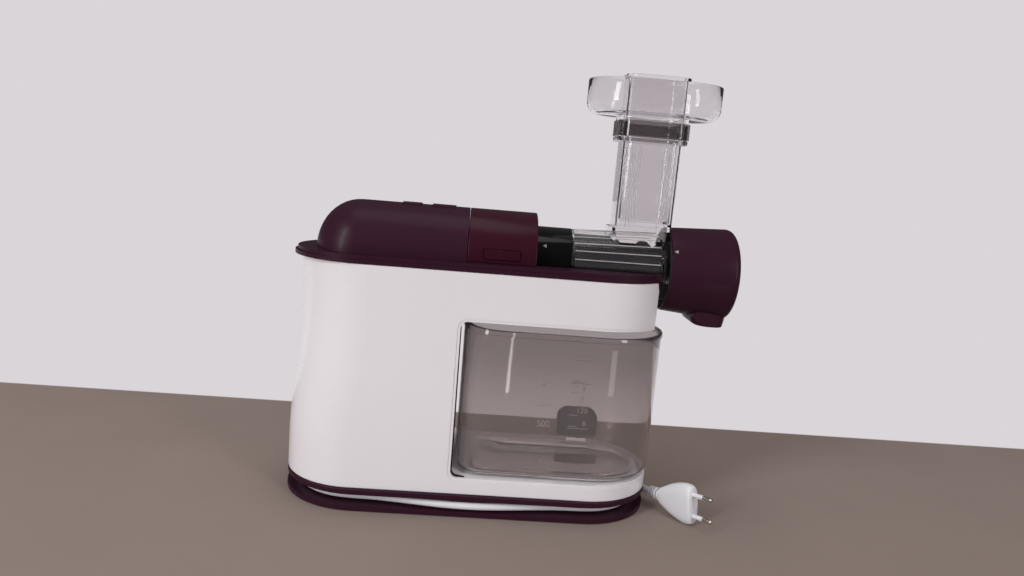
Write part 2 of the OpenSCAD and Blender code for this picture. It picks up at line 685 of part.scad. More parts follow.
module output_bushes() color("goldenrod") at_axis() {
  tube_x(motor_x1, gear_x0, output_shaft_r + bush_wall, output_shaft_r + run_gap);
  tube_x(gear_x0, gear_x0 + stage_gap, output_shaft_r + 2 * bush_wall, output_shaft_r + run_gap);
  tube_x(bush2_x0, bush2_x1, output_shaft_r + bush_wall, output_shaft_r + run_gap);
}
// Black nose that the drum's coupling slides on, carried by the hump's end wall
housing_x1 = hex_x0 - bush_wall;
module drive_housing() color(black) at_axis() difference() {
  union() {
    rod_x(hump_x1 - hump_wall, housing_x1, housing_r);
    rod_x(hump_x1, hump_x1 + 2 * bush_wall, housing_r + 2 * bush_wall);
  }
  rod_x(hump_x1 - 2 * hump_wall, bush2_x0 + over, output_shaft_r + part_gap);
  rod_x(bush2_x0, bush2_x1 + over / 2, output_shaft_r + bush_wall);
  rod_x(bush2_x1, housing_x1 + over, output_shaft_r + 2 * bush_wall);
}
module shaft_seal() color(black) at_axis()
  tube_x(bush2_x1, housing_x1, output_shaft_r + 2 * bush_wall, output_shaft_r + run_gap);

// Drain that leads the juice from the trough through the liner into the jug
drain_drop = 3;
drain_low = bay_top - drain_drop;
module juice_drain() color(plum) difference() {
  union() {
    translate([drain_x, 0, drain_low]) cylinder(h = axis_z - drain_low, r = drain_r - clear_wall - run_gap);
    translate([drain_x, 0, bay_top + liner_wall + part_gap / 4])
      cylinder(h = clear_wall, r = drain_r + clear_wall);
  }
  translate([drain_x, 0, drain_low - over]) cylinder(h = 2 * axis_z, r = drain_r - 2 * clear_wall);
  cradle_rod(0, base_len, trough_r + trough_wall / 2);
}

// Board on its posts on the deck, and the leads
board_in = 19;
board_len = 44;
board_x0 = board_in - half_len;
board_x1 = board_x0 + board_len;
board_w = 50;
board_t = 1.6;
post_in = 4;
board_rise = 6;
board_z = base_h + board_rise;
relay_h = 14.4;
capacitor_h = 12.8;
module control_board() color("darkgreen") {
  span([board_x0, -board_w / 2, board_z], [board_x1, board_w / 2, board_z + board_t]);
  for (x = [board_x0 + post_in, board_x1 - post_in]) for (sy = [-1, 1])
    translate([x, sy * (board_w / 2 - post_in), base_h]) cylinder(h = board_z - base_h, r = 2 * screw_r);
  span([board_x0 + 2 * foot_pocket, -board_w / 4, board_z],
    [board_x0 + board_w / 3, board_w / 8, board_z + relay_h]);
  translate([board_x1 - 2 * bearing_w, board_w / 5, board_z]) cylinder(h = capacitor_h, r = bearing_w);
}
lead_r = 1.3;
corner_r = 1.5;
// A lead through points, with a round knuckle at each
module lead(points) {
  for (p = points) translate(p) sphere(r = corner_r);
  for (i = [1:len(points) - 1]) let (v = points[i] - points[i - 1])
    translate(points[i - 1]) rotate([0, acos(v[2] / norm(v)), atan2(v[1], v[0])])
      cylinder(h = norm(v), r = lead_r);
}
lead_z = 44;
lead_y = base_hd - 2 * groove_in - gland_r;
module wiring_loom() color("dimgray") {
  lead([[gland_x, lead_y, cord_z], [gland_x, lead_y, lead_z], [board_x1 - bearing_w, lead_y, lead_z],
    [board_x1 - bearing_w, lead_y, board_z + board_t + lead_r]]);
  lead([[board_x1 - 2 * bearing_w, board_w / 2 - bearing_w / 2, board_z + board_t + lead_r],
    [board_x1 - 2 * bearing_w, motor_r + bearing_r, board_z + 4 * bearing_w],
    [board_x1 - 2 * bearing_w, motor_r + bearing_r, idler_z],
    [reverse_x - bearing_w, 0, axis_z + switch_top - switch_h / 2],
    [reverse_x - lead_r, 0, axis_z + switch_top - switch_h / 2]]);
}

// Block in the groove that the cord leaves along +X
gland_len = 14;
gland_w = 7.4;
gland_h = 8;
groove_wall_y = base_hd - groove_in;
module cord_gland() color(black) {
  span([gland_x - gland_len, groove_wall_y, cord_z - gland_h / 2],
    [gland_x, groove_wall_y + gland_w, cord_z + gland_h / 2]);
  translate([gland_x, groove_wall_y, cord_z]) rotate([90, 0, 0]) cylinder(h = spool_wall, r = gland_r - run_gap);
}

// Cord: one tube wound in the groove and led out to its plug
cord_gap = 0.6;
cord_deep = groove_in - cord_d / 2 - cord_gap;
cord_edge = 1.1;
cord_shallow = cord_d / 2 + cord_edge;
cord_bow = 5;
cord_sides = 8;
exit_share = 0.38;
plug_az = -53;
plug_el = 7;
plug_at = [193.4, -49.3, 17.3];
relief_len = 13;
plug_len = 34;
plug_dir = [cos(plug_el) * cos(plug_az), cos(plug_el) * sin(plug_az), sin(plug_el)];
relief_at = plug_at - (plug_len + relief_len) * plug_dir;
exit_points = [[155.3, 9.5, 9.1], [159.4, 0.5, 9.6], [162.3, -5.8, 10.3]];
// A point on the groove: side 0 is the back, 1 the right end, 2 the front and 3 the left end
function groove_point(side, f, q) = let (s = half_len - base_end, a = base_end - q, b = base_hd - q)
  side == 0 ? [-s + 2 * s * f, b, cord_z] : side == 1 ? [s + a * sin(180 * f), b * cos(180 * f), cord_z] :
  side == 2 ? [s - 2 * s * f, -b, cord_z] : [-s - a * sin(180 * f), -b * cos(180 * f), cord_z];
start_share = (gland_x + half_len - base_end) / (2 * (half_len - base_end));
turn_steps = 10;
first_steps = 5;
last_steps = 6;
cord_path = concat(
  [for (k = [0:first_steps - 1])
    groove_point(0, start_share + (1 - start_share) * k / first_steps, cord_deep)],
  [for (k = [0:turn_steps - 1]) groove_point(1, k / turn_steps, cord_deep)],
  [for (k = [0:turn_steps - 1]) groove_point(2, k / turn_steps,
    cord_deep - (cord_deep - cord_bow) * pow(sin(180 * k / turn_steps), 2))],
  [for (k = [0:turn_steps - 1]) groove_point(3, k / turn_steps,
    cord_deep - (cord_deep - cord_shallow) * (1 - cos(180 * k / turn_steps)) / 2)],
  [for (k = [0:last_steps - 1]) groove_point(0, k / last_steps, cord_shallow)],
  [for (k = [0:turn_steps * exit_share]) groove_point(1, k / turn_steps, cord_shallow)],
  exit_points, [relief_at - cord_d * plug_dir, relief_at]);
function unit(v) = v / norm(v);
function tangent(p, i) = unit(p[min(i + 1, len(p) - 1)] - p[max(i - 1, 0)]);
module tube(path, r, sides) {
  n = len(path);
  function ring(i) = let (t = tangent(path, i), side = unit(cross([0, 0, 1], t)), up = cross(t, side))
    [for (j = [0:sides - 1]) let (a = 360 * (j + 0.5) / sides) path[i] + r * (cos(a) * side + sin(a) * up)];
  polyhedron(points = [for (i = [0:n - 1]) each ring(i)], faces = concat(
    [[for (j = [sides - 1:-1:0]) j]],
    [for (i = [0:n - 2]) for (j = [0:sides - 1])
      [i * sides + j, i * sides + (j + 1) % sides, (i + 1) * sides + (j + 1) % sides]],
    [for (i = [0:n - 2]) for (j = [0:sides - 1])
      [i * sides + j, (i + 1) * sides + (j + 1) % sides, (i + 1) * sides + j]],
    [[for (j = [0:sides - 1]) (n - 1) * sides + j]]));
}
module power_cord() color("gainsboro") {
  tube(cord_path, cord_d / 2, cord_sides);
  n = len(cord_path);
  length = [for (i = 1, s = 0; i <= n; s = s + (i < n ? norm(cord_path[i] - cord_path[i - 1]) : 0), i = i + 1)
    s][n - 1];
  gap = min([for (i = [0:n - 1]) for (j = [i + turn_steps:1:n - 1])
    norm(cord_path[i] - cord_path[j])]) - cord_d;
  echo(cord_length = length, least_gap = gap);
}
module on_plug() translate(plug_at) rotate([0, -plug_el, plug_az]) children();
relief_r0 = 3.9;
relief_r1 = 5.6;
relief_rib = 1.4;
relief_step = 3.5;
module plug_relief() color("gainsboro") on_plug() {
  rod_x(-plug_len - relief_len, -plug_len, relief_r0 - relief_rib / 2, relief_r1 - relief_rib / 2);
  for (k = [0:3]) let (x = -plug_len - relief_len + k * relief_step)
    rod_x(x, x + relief_rib, relief_r0 + (relief_r1 - relief_r0) * k / 4);
}
plug_w = 35.3;
plug_t = 13.7;
pin_pitch = 18.6;
plug_pin_r = 2;
plug_pin_len = 19;
module plug_body() color("gainsboro") on_plug() difference() {
  translate([0, plug_t / 2, 0]) rotate([90, 0, 0]) linear_extrude(plug_t) polygon(concat(
    [for (p = plug_shares) [-plug_len * p[0], -plug_w / 2 * p[1]]],
    [for (i = [len(plug_shares) - 1:-1:0]) let (p = plug_shares[i]) [-plug_len * p[0], plug_w / 2 * p[1]]]));
  for (sz = [-1, 1]) translate([0, 0, sz * pin_pitch / 2]) rod_x(-pin_pitch / 3, over, plug_pin_r);
}
plug_shares = [[0, 0.92], [0.05, 0.98], [0.14, 1], [0.3, 0.94], [0.5, 0.78], [0.7, 0.58], [0.86, 0.42],
  [1, 0.32]];
module plug_pins() color(steel) on_plug() for (sz = [-1, 1]) translate([0, 0, sz * pin_pitch / 2]) {
  rod_x(-pin_pitch / 3, plug_pin_len - plug_pin_r, plug_pin_r);
  translate([plug_pin_len - plug_pin_r, 0, 0]) sphere(r = plug_pin_r);
}

// Drum: black coupling, clear barrel with its feed chute, and what turns inside
coupling_x0 = 12;
neck_r = 25;
neck_x0 = 56;
module drum_coupling() color(black) at_axis() difference() {
  rod_x(coupling_x0, barrel_x0, coupling_r);
  rod_x(coupling_x0 - over, housing_x1 + 2 * part_gap, housing_r + slide_gap);
  rod_x(housing_x1, neck_x0 + over, neck_r - clear_wall);
  rod_x(neck_x0, barrel_x0 + over, neck_r + run_gap);
}
chute_corner = 9;
strainer_r = 26;
strainer_wall = 1.4;
barrel_bore = strainer_r + part_gap;
spigot_r = 31;
spigot_len = 11;
stem_r = 9;
collar_out = 1.8;
collar_d = chute_d + 2 * (clear_wall + collar_out);
collar_w = chute_w + 2 * (clear_wall + collar_out);
chute_rise = 3;
cap_lift = 1.4;
chute_step_z = axis_z + cap_r0 + cap_lift + 2 * part_gap;
drum_hole_r = 6;
lug_count = 3;
lug_turn = 60;
module barrel_solid() {
  at_axis() {
    rod_x(neck_x0, barrel_x0 + over, neck_r);
    rod_x(barrel_x0, flange_x, barrel_r0, barrel_r1);
    rod_x(flange_x, flange_x + flange_t, flange_r);
    rod_x(flange_x + flange_t, cap_x0 + spigot_len, spigot_r);
    for (i = [0:lug_count - 1]) rotate([360 * i / lug_count + lug_turn, 0, 0])
      span([cap_x0 + spigot_len / 2, -stem_r / 2, 0], [cap_x0 + spigot_len, stem_r / 2, spigot_r + stage_gap]);
  }
  translate([chute_x, 0, axis_z]) linear_extrude(chute_top + chute_rise - axis_z)
    polygon(soft_rect(chute_w, chute_d, chute_corner));
  // Flared foot of the chute
  translate([chute_x, 0, axis_z]) linear_extrude(barrel_r1 + chute_rise)
    polygon(soft_rect(chute_w + 2 * chute_rise, chute_d + 2 * chute_rise, chute_corner));
}
module drum_barrel() color(clear) difference() {
  intersection() {
    barrel_solid();
    union() {
      span([0, -base_depth, 0], [flange_x + flange_t, base_depth, 2 * axis_z]);
      at_axis() rod_x(flange_x, base_len, spigot_r);
      at_axis() rod_x(cap_x0 + spigot_len / 2, base_len, spigot_r + stage_gap);
      span([0, -base_depth, chute_step_z], [base_len, base_depth, 2 * axis_z]);
    }
  }
  at_axis() {
    rod_x(neck_x0 + clear_wall, base_len, neck_r - clear_wall);
    rod_x(barrel_x0 + clear_wall, base_len, barrel_bore);
    rod_x(neck_x0 - over, neck_x0 + clear_wall + over, stem_r + seal_t);
  }
  intersection() {
    translate([chute_x, 0, axis_z]) linear_extrude(chute_top)
      polygon(soft_rect(chute_w - 2 * clear_wall, chute_d - 2 * clear_wall, chute_corner - clear_wall));
    union() {
      span([0, -base_depth, 0], [flange_x + flange_t - clear_wall, base_depth, 2 * axis_z]);
      span([0, -base_depth, chute_step_z + clear_wall], [base_len, base_depth, 2 * axis_z]);
    }
  }
  translate([drain_x, 0, 0]) cylinder(h = axis_z, r = drum_hole_r);
}
seal_t = 2;
module drum_seal() color(black) at_axis()
  tube_x(neck_x0, neck_x0 + clear_wall, stem_r + seal_t - run_gap / 2, stem_r + run_gap);

// Strainer sleeve with rows of slots, open at the top under the chute
strainer_x0 = barrel_x0 + clear_wall + part_gap;
end_gap = 2;
strainer_x1 = flange_x - end_gap;
slot_w = 1.2;
slot_rows = 4;
slots_round = 14;
module strainer() color(charcoal) difference() {
  at_axis() tube_x(strainer_x0, strainer_x1, strainer_r, strainer_r - strainer_wall);
  for (k = [0:slot_rows - 1]) for (i = [0:slots_round - 1])
    translate([level(k + 0.5, slot_rows + 1, strainer_x0, chute_x - chute_w / 2), 0, axis_z])
      rotate([90 + 360 * (i + 0.5) / slots_round, 0, 0])
        span([-strainer_wall, -slot_w / 2, strainer_r - 2 * strainer_wall],
          [strainer_wall, slot_w / 2, strainer_r + over]);
  translate([chute_x, 0, axis_z]) linear_extrude(2 * strainer_r)
    polygon(soft_rect(chute_w - 2 * clear_wall, chute_d - 2 * clear_wall, chute_corner));
}

// Auger: core with a screw flight
auger_x0 = strainer_x0 + end_gap;
auger_x1 = cap_x0 + end_gap;
core_r0 = 17;
core_r1 = 10;
flight_gap = 0.5;
flight_r = strainer_r - strainer_wall - flight_gap;
flight_t = 3;
flight_turns = 3;
flight_steps = 22;
pivot_r = 4;
module auger() color(charcoal) at_axis() {
  difference() {
    union() {
      rod_x(auger_x0, auger_x1, core_r0, core_r1);
      rod_x(neck_x0 - part_gap, auger_x0 + over, stem_r);
      rod_x(auger_x1 - over, auger_x1 + 3 * pivot_r, pivot_r);
    }
    rod_x(neck_x0 - over, auger_x0 - over, insert_r);
  }
  flight();
}
insert_r = 8;
module flight() {
  n = flight_turns * flight_steps;
  pitch = (auger_x1 - auger_x0 - flight_t) / flight_turns;
  function core_at(x) = core_r0 + (core_r1 - core_r0) * (x - auger_x0) / (auger_x1 - auger_x0) - over;
  function spot(k, dx, r) = let (a = 360 * k / flight_steps, x = auger_x0 + pitch * k / flight_steps + dx)
    [x, (r > 0 ? r : core_at(x)) * cos(a), (r > 0 ? r : core_at(x)) * sin(a)];
  polyhedron(points = [for (k = [0:n]) each [spot(k, 0, 0), spot(k, 0, flight_r), spot(k, flight_t, flight_r),
    spot(k, flight_t, 0)]], faces = concat([[3, 2, 1, 0]],
    [for (k = [0:n - 1]) for (j = [0:3]) [4 * k + j, 4 * k + (j + 1) % 4, 4 * k + 4 + (j + 1) % 4]],
    [for (k = [0:n - 1]) for (j = [0:3]) [4 * k + j, 4 * k + 4 + (j + 1) % 4, 4 * k + 4 + j]],
    [[4 * n, 4 * n + 1, 4 * n + 2, 4 * n + 3]]));
}
// Metal insert with the hexagonal socket
insert_in = 16;
insert_x0 = hex_x0 + insert_in;
module auger_insert() color(steel) at_axis() difference() {
  union() {
    rod_x(insert_x0, neck_x0 - part_gap, stem_r);
    rod_x(neck_x0 - part_gap, auger_x0 - over, insert_r - run_gap / 5);
  }
  translate([insert_x0 - over, 0, 0]) rotate([0, 90, 0])
    cylinder(h = hex_x1 - insert_x0 + over + part_gap, r = hex_r + part_gap / 2, $fn = 6);
}

// End cap: round shell that grows to its face, with the pulp spout below
cap_wall = 2.6;
cap_play = 0.5;
cap_bore = spigot_r + cap_play;
cap_round = 4;
spout_x0 = 175;
spout_slope = 6;
function cap_ring(x, r, lift, n = 56) = [for (i = [0:n - 1]) let (a = 360 * i / n)
  [x, r * cos(a), lift + r * sin(a)]];
module cap_skin(inset) loft([cap_ring(cap_x0 - (inset > 0 ? over : 0), cap_r0 - inset, cap_lift),
  cap_ring(cap_x1 - cap_round, cap_r1 - inset, 0),
  cap_ring(cap_x1 - cap_round / 3, cap_r1 - inset - cap_round / 4, 0),
  cap_ring(cap_x1 - inset, cap_r1 - inset - cap_round, 0)]);
module spout_block(inset) intersection() {
  translate([0, spout_w / 2 - inset, 0]) rotate([90, 0, 0]) linear_extrude(spout_w - 2 * inset)
    polygon([[spout_x0 + inset, -cap_r0 + 2 * cap_round], [spout_x0 + inset, spout_slope - spout_drop],
      [spout_x0 + 2 * spout_slope + inset, -spout_drop - (inset > 0 ? spout_slope : 0)],
      [cap_x1 - spout_slope / 2 - inset, -spout_drop - (inset > 0 ? spout_slope : 0)],
      [cap_x1 - inset, -cap_r0 + cap_round], [cap_x1 - inset, -cap_r0 + 2 * cap_round]]);
  translate([(spout_x0 + cap_x1) / 2, 0, -base_depth]) linear_extrude(2 * base_depth)
    polygon(soft_rect(cap_x1 - spout_x0 - 2 * inset, spout_w - 2 * inset, 2 * spout_slope - inset));
}
module end_cap() color(plum) at_axis() difference() {
  union() {
    cap_skin(0);
    spout_block(0);
  }
  rod_x(cap_x0 - over, cap_x0 + spigot_len + 2 * part_gap, cap_bore);
  rod_x(cap_x0 + spigot_len / 2 - 2 * part_gap, cap_x0 + spigot_len + 2 * part_gap, spigot_r + 2 * stage_gap);
  rod_x(cap_x0, cap_x1 - cap_wall, cap_bore - cap_wall);
  spout_block(cap_wall);
  rod_x(bush_x0 + over, cap_x1 - cap_wall + run_gap, pivot_r);
}
seal_cs = 1.6;
module cap_seal() color(black) at_axis()
  tube_x(flange_x + flange_t, cap_x0 - part_gap / 4, spigot_r + 2 * seal_cs, spigot_r);
// Bush that carries the auger's pivot, on three arms inside the cap
bush_x0 = auger_x1 + part_gap * 4;
bush_arm_x = cap_x0 + spigot_len + 3 * part_gap;
bush_arm_w = 4;
bush_len = bush_arm_x + bush_arm_w - bush_x0;
module cap_bush() color(black) at_axis() difference() {
  union() {
    rod_x(bush_x0, bush_x0 + bush_len, pivot_r + bush_wall);
    for (i = [0:2]) rotate([120 * i + 180, 0, 0]) span([bush_arm_x, -bush_wall, pivot_r + bush_wall / 2],
      [bush_x0 + bush_len, bush_wall, cap_bore - cap_wall - part_gap / 4]);
  }
  rod_x(bush_x0 - over, bush_x0 + bush_len + over, pivot_r + run_gap);
}
flap_t = 1.8;
flap_rise = 9.6;
module pulp_flap() color(black) at_axis()
  translate([(spout_x0 + cap_x1) / 2 - cap_wall / 2, 0, flap_rise - spout_drop]) linear_extrude(flap_t)
    polygon(soft_rect(cap_x1 - spout_x0 - 3 * cap_wall - part_gap, spout_w - 2 * cap_wall - part_gap / 2,
      2 * spout_slope - cap_wall));

// Feed tray: oval dish on a collar that drops over the chute
tray_z0 = chute_top + collar_h;
tray_z1 = tray_z0 + tray_h;
tray_round = 6;
function tray_pts(inset) = soft_rect(tray_w - 2 * inset, tray_d - 2 * inset, tray_d / 2 - inset - over, 14);
module collar_solid(inset, z0, z1) translate([chute_x, 0, z0]) linear_extrude(z1 - z0)
  polygon(soft_rect(collar_w - 2 * inset, collar_d - 2 * inset, chute_corner + clear_wall - inset));
module feed_tray() color(clear) difference() {
  union() {
    translate([chute_x, 0, tray_z0]) loft([for (k = [0:4])
      at_z(tray_pts(tray_round * (1 - sin(90 * k / 4))), tray_round * (1 - cos(90 * k / 4))),
      at_z(tray_pts(0), tray_h)]);
    collar_solid(0, chute_top, tray_z0 + over);
  }
  translate([chute_x, 0, tray_z0 + clear_wall]) loft([for (k = [0:4])
    at_z(tray_pts(clear_wall + (tray_round - clear_wall) * (1 - sin(90 * k / 4))),
      (tray_round - clear_wall) * (1 - cos(90 * k / 4))), at_z(tray_pts(clear_wall), tray_h)]);
  translate([chute_x, 0, 0]) linear_extrude(2 * tray_z1)
    polygon(soft_rect(chute_w + 2 * slide_gap, chute_d + 2 * slide_gap, chute_corner + slide_gap));
}
band_h = 13;
band_low = 4;
band_t = 1.2;
module collar_ring() color([0.12, 0.10, 0.11, 0.8]) difference() {
  collar_solid(-band_t, chute_top + band_low, chute_top + band_low + band_h);
  collar_solid(-run_gap, chute_top, chute_top + collar_h);
}

// Hollow pusher that fills the chute, with a rim over the tray
pusher_gap = 0.5;
pusher_wall = 1.8;
pusher_w = chute_w - 2 * clear_wall - 2 * pusher_gap;
pusher_d = chute_d - 2 * clear_wall - 2 * pusher_gap;
pusher_low = chute_step_z + clear_wall + pusher_gap;
pusher_top = tray_z1 + pusher_rise;
pusher_head_z = chute_top + chute_rise + part_gap;
rim_t = 3;
module pusher() color(clear) translate([chute_x, 0, 0]) difference() {
  union() {
    translate([0, 0, pusher_low]) linear_extrude(pusher_top - pusher_low)
      polygon(soft_rect(pusher_w, pusher_d, chute_corner - clear_wall - pusher_gap));
    translate([0, 0, pusher_head_z]) linear_extrude(pusher_top - pusher_head_z)
      polygon(soft_rect(chute_w, chute_d, chute_corner));
    translate([0, 0, pusher_top - rim_t]) linear_extrude(rim_t)
      polygon(soft_rect(pusher_rim, chute_d + pusher_rim - chute_w, chute_corner + rim_t));
  }
  translate([0, 0, pusher_low + pusher_wall]) linear_extrude(pusher_top)
    polygon(soft_rect(pusher_w - 2 * pusher_wall, pusher_d - 2 * pusher_wall, chute_corner - 2 * clear_wall));
  translate([0, 0, pusher_head_z + pusher_wall]) linear_extrude(pusher_top)
    polygon(soft_rect(chute_w - 2 * pusher_wall, chute_d - 2 * pusher_wall, chute_corner - pusher_wall));
}

// Juice jug in the bay
jug_left = 33;
jug_right = 58;
jug_low = bay_low + part_gap / 2;
function jug_pts(inset) = oval_pts(jug_x0 + inset, jug_x1 - inset, jug_left - inset, jug_right - inset,
  jug_depth / 2 - inset);
jug_floor = 3;
jug_rim_h = 4;
jug_rim_t = 0.9;
module juice_jug() color(smoke) {
  difference() {
    union() {
      translate([0, 0, jug_low]) linear_extrude(jug_h) polygon(jug_pts(jug_rim_t));
      translate([0, 0, jug_low + jug_h - jug_rim_h]) linear_extrude(jug_rim_h) polygon(jug_pts(0));
    }
    translate([0, 0, jug_low + jug_floor]) linear_extrude(jug_h) polygon(jug_pts(jug_rim_t + jug_wall));
  }
  // Rest that the stopper stands on
  span([stopper_x - stopper_w / 4, stopper_y - stopper_t, jug_low + over],
    [stopper_x + stopper_w / 4, stopper_y, jug_low + jug_floor + stopper_rest]);
}
// Silicone stopper kept in the jug, against its rear wall
stopper_x = 101;
stopper_w = 38;
stopper_h = 27;
stopper_t = 9;
stopper_back = 2.8;
stopper_y = jug_depth / 2 - jug_wall - jug_rim_t - stopper_back;
stopper_rest = 5.6;
stopper_round = 22.8;
module jug_stopper() color(black) translate([stopper_x, stopper_y, jug_low + jug_floor + stopper_rest])
  rotate([90, 0, 0]) linear_extrude(stopper_t) intersection() {
    translate([-stopper_w / 2, 0]) square([stopper_w, stopper_h]);
    translate([0, stopper_h - stopper_round]) circle(r = stopper_round);
  }

base_plate();
cord_spool();
rubber_feet();
base_screws();
body_shell();
bay_liner();
top_cover();
drum_cradle();
cover_screws();
lock_cover();
hinge_pin();
latch_button();
power_button();
reverse_button();
power_spring();
reverse_spring();
switch_block();
control_board();
wiring_loom();
motor_can();
motor_end_bell();
motor_shaft();
motor_fan();
motor_bearings();
motor_screws();
gear_plate();
gear_cover();
gearbox_screws();
idler_gear();
idler_shaft();
output_gear();
output_shaft();
output_bushes();
drive_housing();
shaft_seal();
juice_drain();
cord_gland();
power_cord();
plug_relief();
plug_body();
plug_pins();
drum_coupling();
drum_barrel();
drum_seal();
strainer();
auger();
auger_insert();
end_cap();
cap_seal();
cap_bush();
pulp_flap();
feed_tray();
collar_ring();
pusher();
juice_jug();
jug_stopper();
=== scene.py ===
"""A slow juicer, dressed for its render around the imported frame.

Every length is in metres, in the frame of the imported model: X runs along the machine towards the
pulp cap, the front is -Y, and Z is up from the underside of the base.
"""

from __future__ import annotations

import json
import logging
import math
from contextlib import contextmanager
from dataclasses import dataclass, field
from enum import Enum
from typing import Iterator, Sequence

import bmesh
import bpy
from mathutils import Matrix, Vector

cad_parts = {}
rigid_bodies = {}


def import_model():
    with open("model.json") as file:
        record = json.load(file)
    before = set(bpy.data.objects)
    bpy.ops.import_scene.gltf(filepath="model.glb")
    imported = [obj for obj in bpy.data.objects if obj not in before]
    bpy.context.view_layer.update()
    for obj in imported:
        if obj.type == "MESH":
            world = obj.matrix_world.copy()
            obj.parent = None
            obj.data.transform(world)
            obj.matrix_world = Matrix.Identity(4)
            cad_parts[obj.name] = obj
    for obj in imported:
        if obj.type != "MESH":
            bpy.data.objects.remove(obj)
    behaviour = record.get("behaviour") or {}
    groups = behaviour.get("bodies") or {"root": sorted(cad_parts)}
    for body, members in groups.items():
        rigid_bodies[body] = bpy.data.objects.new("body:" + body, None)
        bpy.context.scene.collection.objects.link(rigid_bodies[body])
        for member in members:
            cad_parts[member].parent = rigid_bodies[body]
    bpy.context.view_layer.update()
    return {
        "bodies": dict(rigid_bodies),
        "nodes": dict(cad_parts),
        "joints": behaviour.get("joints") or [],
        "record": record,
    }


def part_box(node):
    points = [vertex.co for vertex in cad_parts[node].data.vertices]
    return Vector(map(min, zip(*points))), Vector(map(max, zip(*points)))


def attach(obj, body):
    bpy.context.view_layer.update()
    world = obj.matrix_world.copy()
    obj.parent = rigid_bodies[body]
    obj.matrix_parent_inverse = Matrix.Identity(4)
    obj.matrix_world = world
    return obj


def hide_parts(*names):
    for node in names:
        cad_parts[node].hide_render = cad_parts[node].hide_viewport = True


LOG = logging.getLogger("juicer")
MM = 0.001
Colour = tuple[float, float, float]
Ring = list[Vector]
Outline = list[tuple[float, float]]


# Node trees


class Wiring:
    """A node tree that is built a node at a time."""

    def __init__(self, tree: bpy.types.NodeTree) -> None:
        """Take up an empty tree.

        Args:
            tree: The tree.
        """
        self.tree = tree

    def feed(self, socket: bpy.types.NodeSocket, value: object) -> None:
        """Link another node's output to a socket, or set a plain value on it."""
        if isinstance(value, bpy.types.NodeSocket):
            self.tree.links.new(value, socket)
        elif socket.type == "RGBA":
            socket.default_value = (*value, 1.0)
        else:
            socket.default_value = value

    def node(self, kind: str, settings: dict[str, object] | None = None,
             sockets: dict[object, object] | None = None) -> bpy.types.Node:
        """Add a node.

        Args:
            kind: The node's type.
            settings: Properties that are set before the sockets.
            sockets: Values or other nodes' outputs, by socket name or index.

        Returns:
            The node.
        """
        made = self.tree.nodes.new(kind)
        for key, value in (settings or {}).items():
            setattr(made, key, value)
        for key, value in (sockets or {}).items():
            self.feed(made.inputs[key], value)
        return made

    def math(self, operation: str, first: object, second: object) -> bpy.types.NodeSocket:
        """Return what one Math node makes of two values."""
        return self.node("ShaderNodeMath", {"operation": operation}, {0: first, 1: second}).outputs[0]

    def scaled(self, value: object, factor: float, plus: object) -> bpy.types.NodeSocket:
        """Return a value times a factor, with something added."""
        return self.math("ADD", self.math("MULTIPLY", value, factor), plus)

    def along(self, coordinate: str, axis: str) -> bpy.types.NodeSocket:
        """Return one axis of a texture coordinate."""
        place = self.node("ShaderNodeTexCoord").outputs[coordinate]
        return self.node("ShaderNodeSeparateXYZ", {}, {0: place}).outputs[axis]

    def rise(self, value: object, span: tuple[float, float],
             reach: tuple[float, float] = (0.0, 1.0)) -> bpy.types.NodeSocket:
        """Return the smooth step that a value takes over a span.

        Args:
            value: The value.
            span: Where the step begins and ends.
            reach: What it gives before and after the step.
        """
        return self.node("ShaderNodeMapRange", {"interpolation_type": "SMOOTHSTEP"}, {
            "Value": value, "From Min": span[0], "From Max": span[1],
            "To Min": reach[0], "To Max": reach[1]}).outputs[0]


class Shade(Wiring):
    """Builds one node material around a Principled shader."""

    def __init__(self, name: str) -> None:
        """Start a material.

        Args:
            name: The material's name.
        """
        self.material = bpy.data.materials.new(name)
        self.material.use_nodes = True
        super().__init__(self.material.node_tree)
        self.tree.nodes.clear()
        self.shader = self.node("ShaderNodeBsdfPrincipled")
        self.node("ShaderNodeOutputMaterial", {}, {"Surface": self.shader.outputs[0]})

    def noise(self, scale: float, detail: float = 3.0,
              stretch: tuple[float, float, float] | None = None) -> bpy.types.NodeSocket:
        """Return a noise value around a half.

        Args:
            scale: Cells per metre.
            detail: Octaves.
            stretch: How much the object's coordinates are stretched on each axis.
        """
        where = self.node("ShaderNodeTexCoord").outputs["Object"]
        if stretch:
            where = self.node("ShaderNodeMapping", {}, {"Vector": where, "Scale": stretch}).outputs[0]
        sockets = {"Vector": where, "Scale": scale, "Detail": detail}
        return self.node("ShaderNodeTexNoise", {}, sockets).outputs[0]

    def blend(self, factor: bpy.types.NodeSocket, first: object, second: object) -> bpy.types.NodeSocket:
        """Return a colour between two colours."""
        sockets = {"Factor": factor, 6: first, 7: second}
        return self.node("ShaderNodeMix", {"data_type": "RGBA"}, sockets).outputs[2]

    def bump(self, height: bpy.types.NodeSocket, strength: float, distance: float) -> None:
        """Give the shader a bump from a height."""
        sockets = {"Height": height, "Strength": strength, "Distance": distance}
        self.set({"Normal": self.node("ShaderNodeBump", {}, sockets).outputs["Normal"]})

    def set(self, values: dict[str, object]) -> None:
        """Set or link the shader's sockets."""
        for socket, value in values.items():
            self.feed(self.shader.inputs[socket], value)


def deeper(colour: Colour, share: float) -> Colour:
    """Return a colour scaled towards black."""
    return tuple(c * share for c in colour)


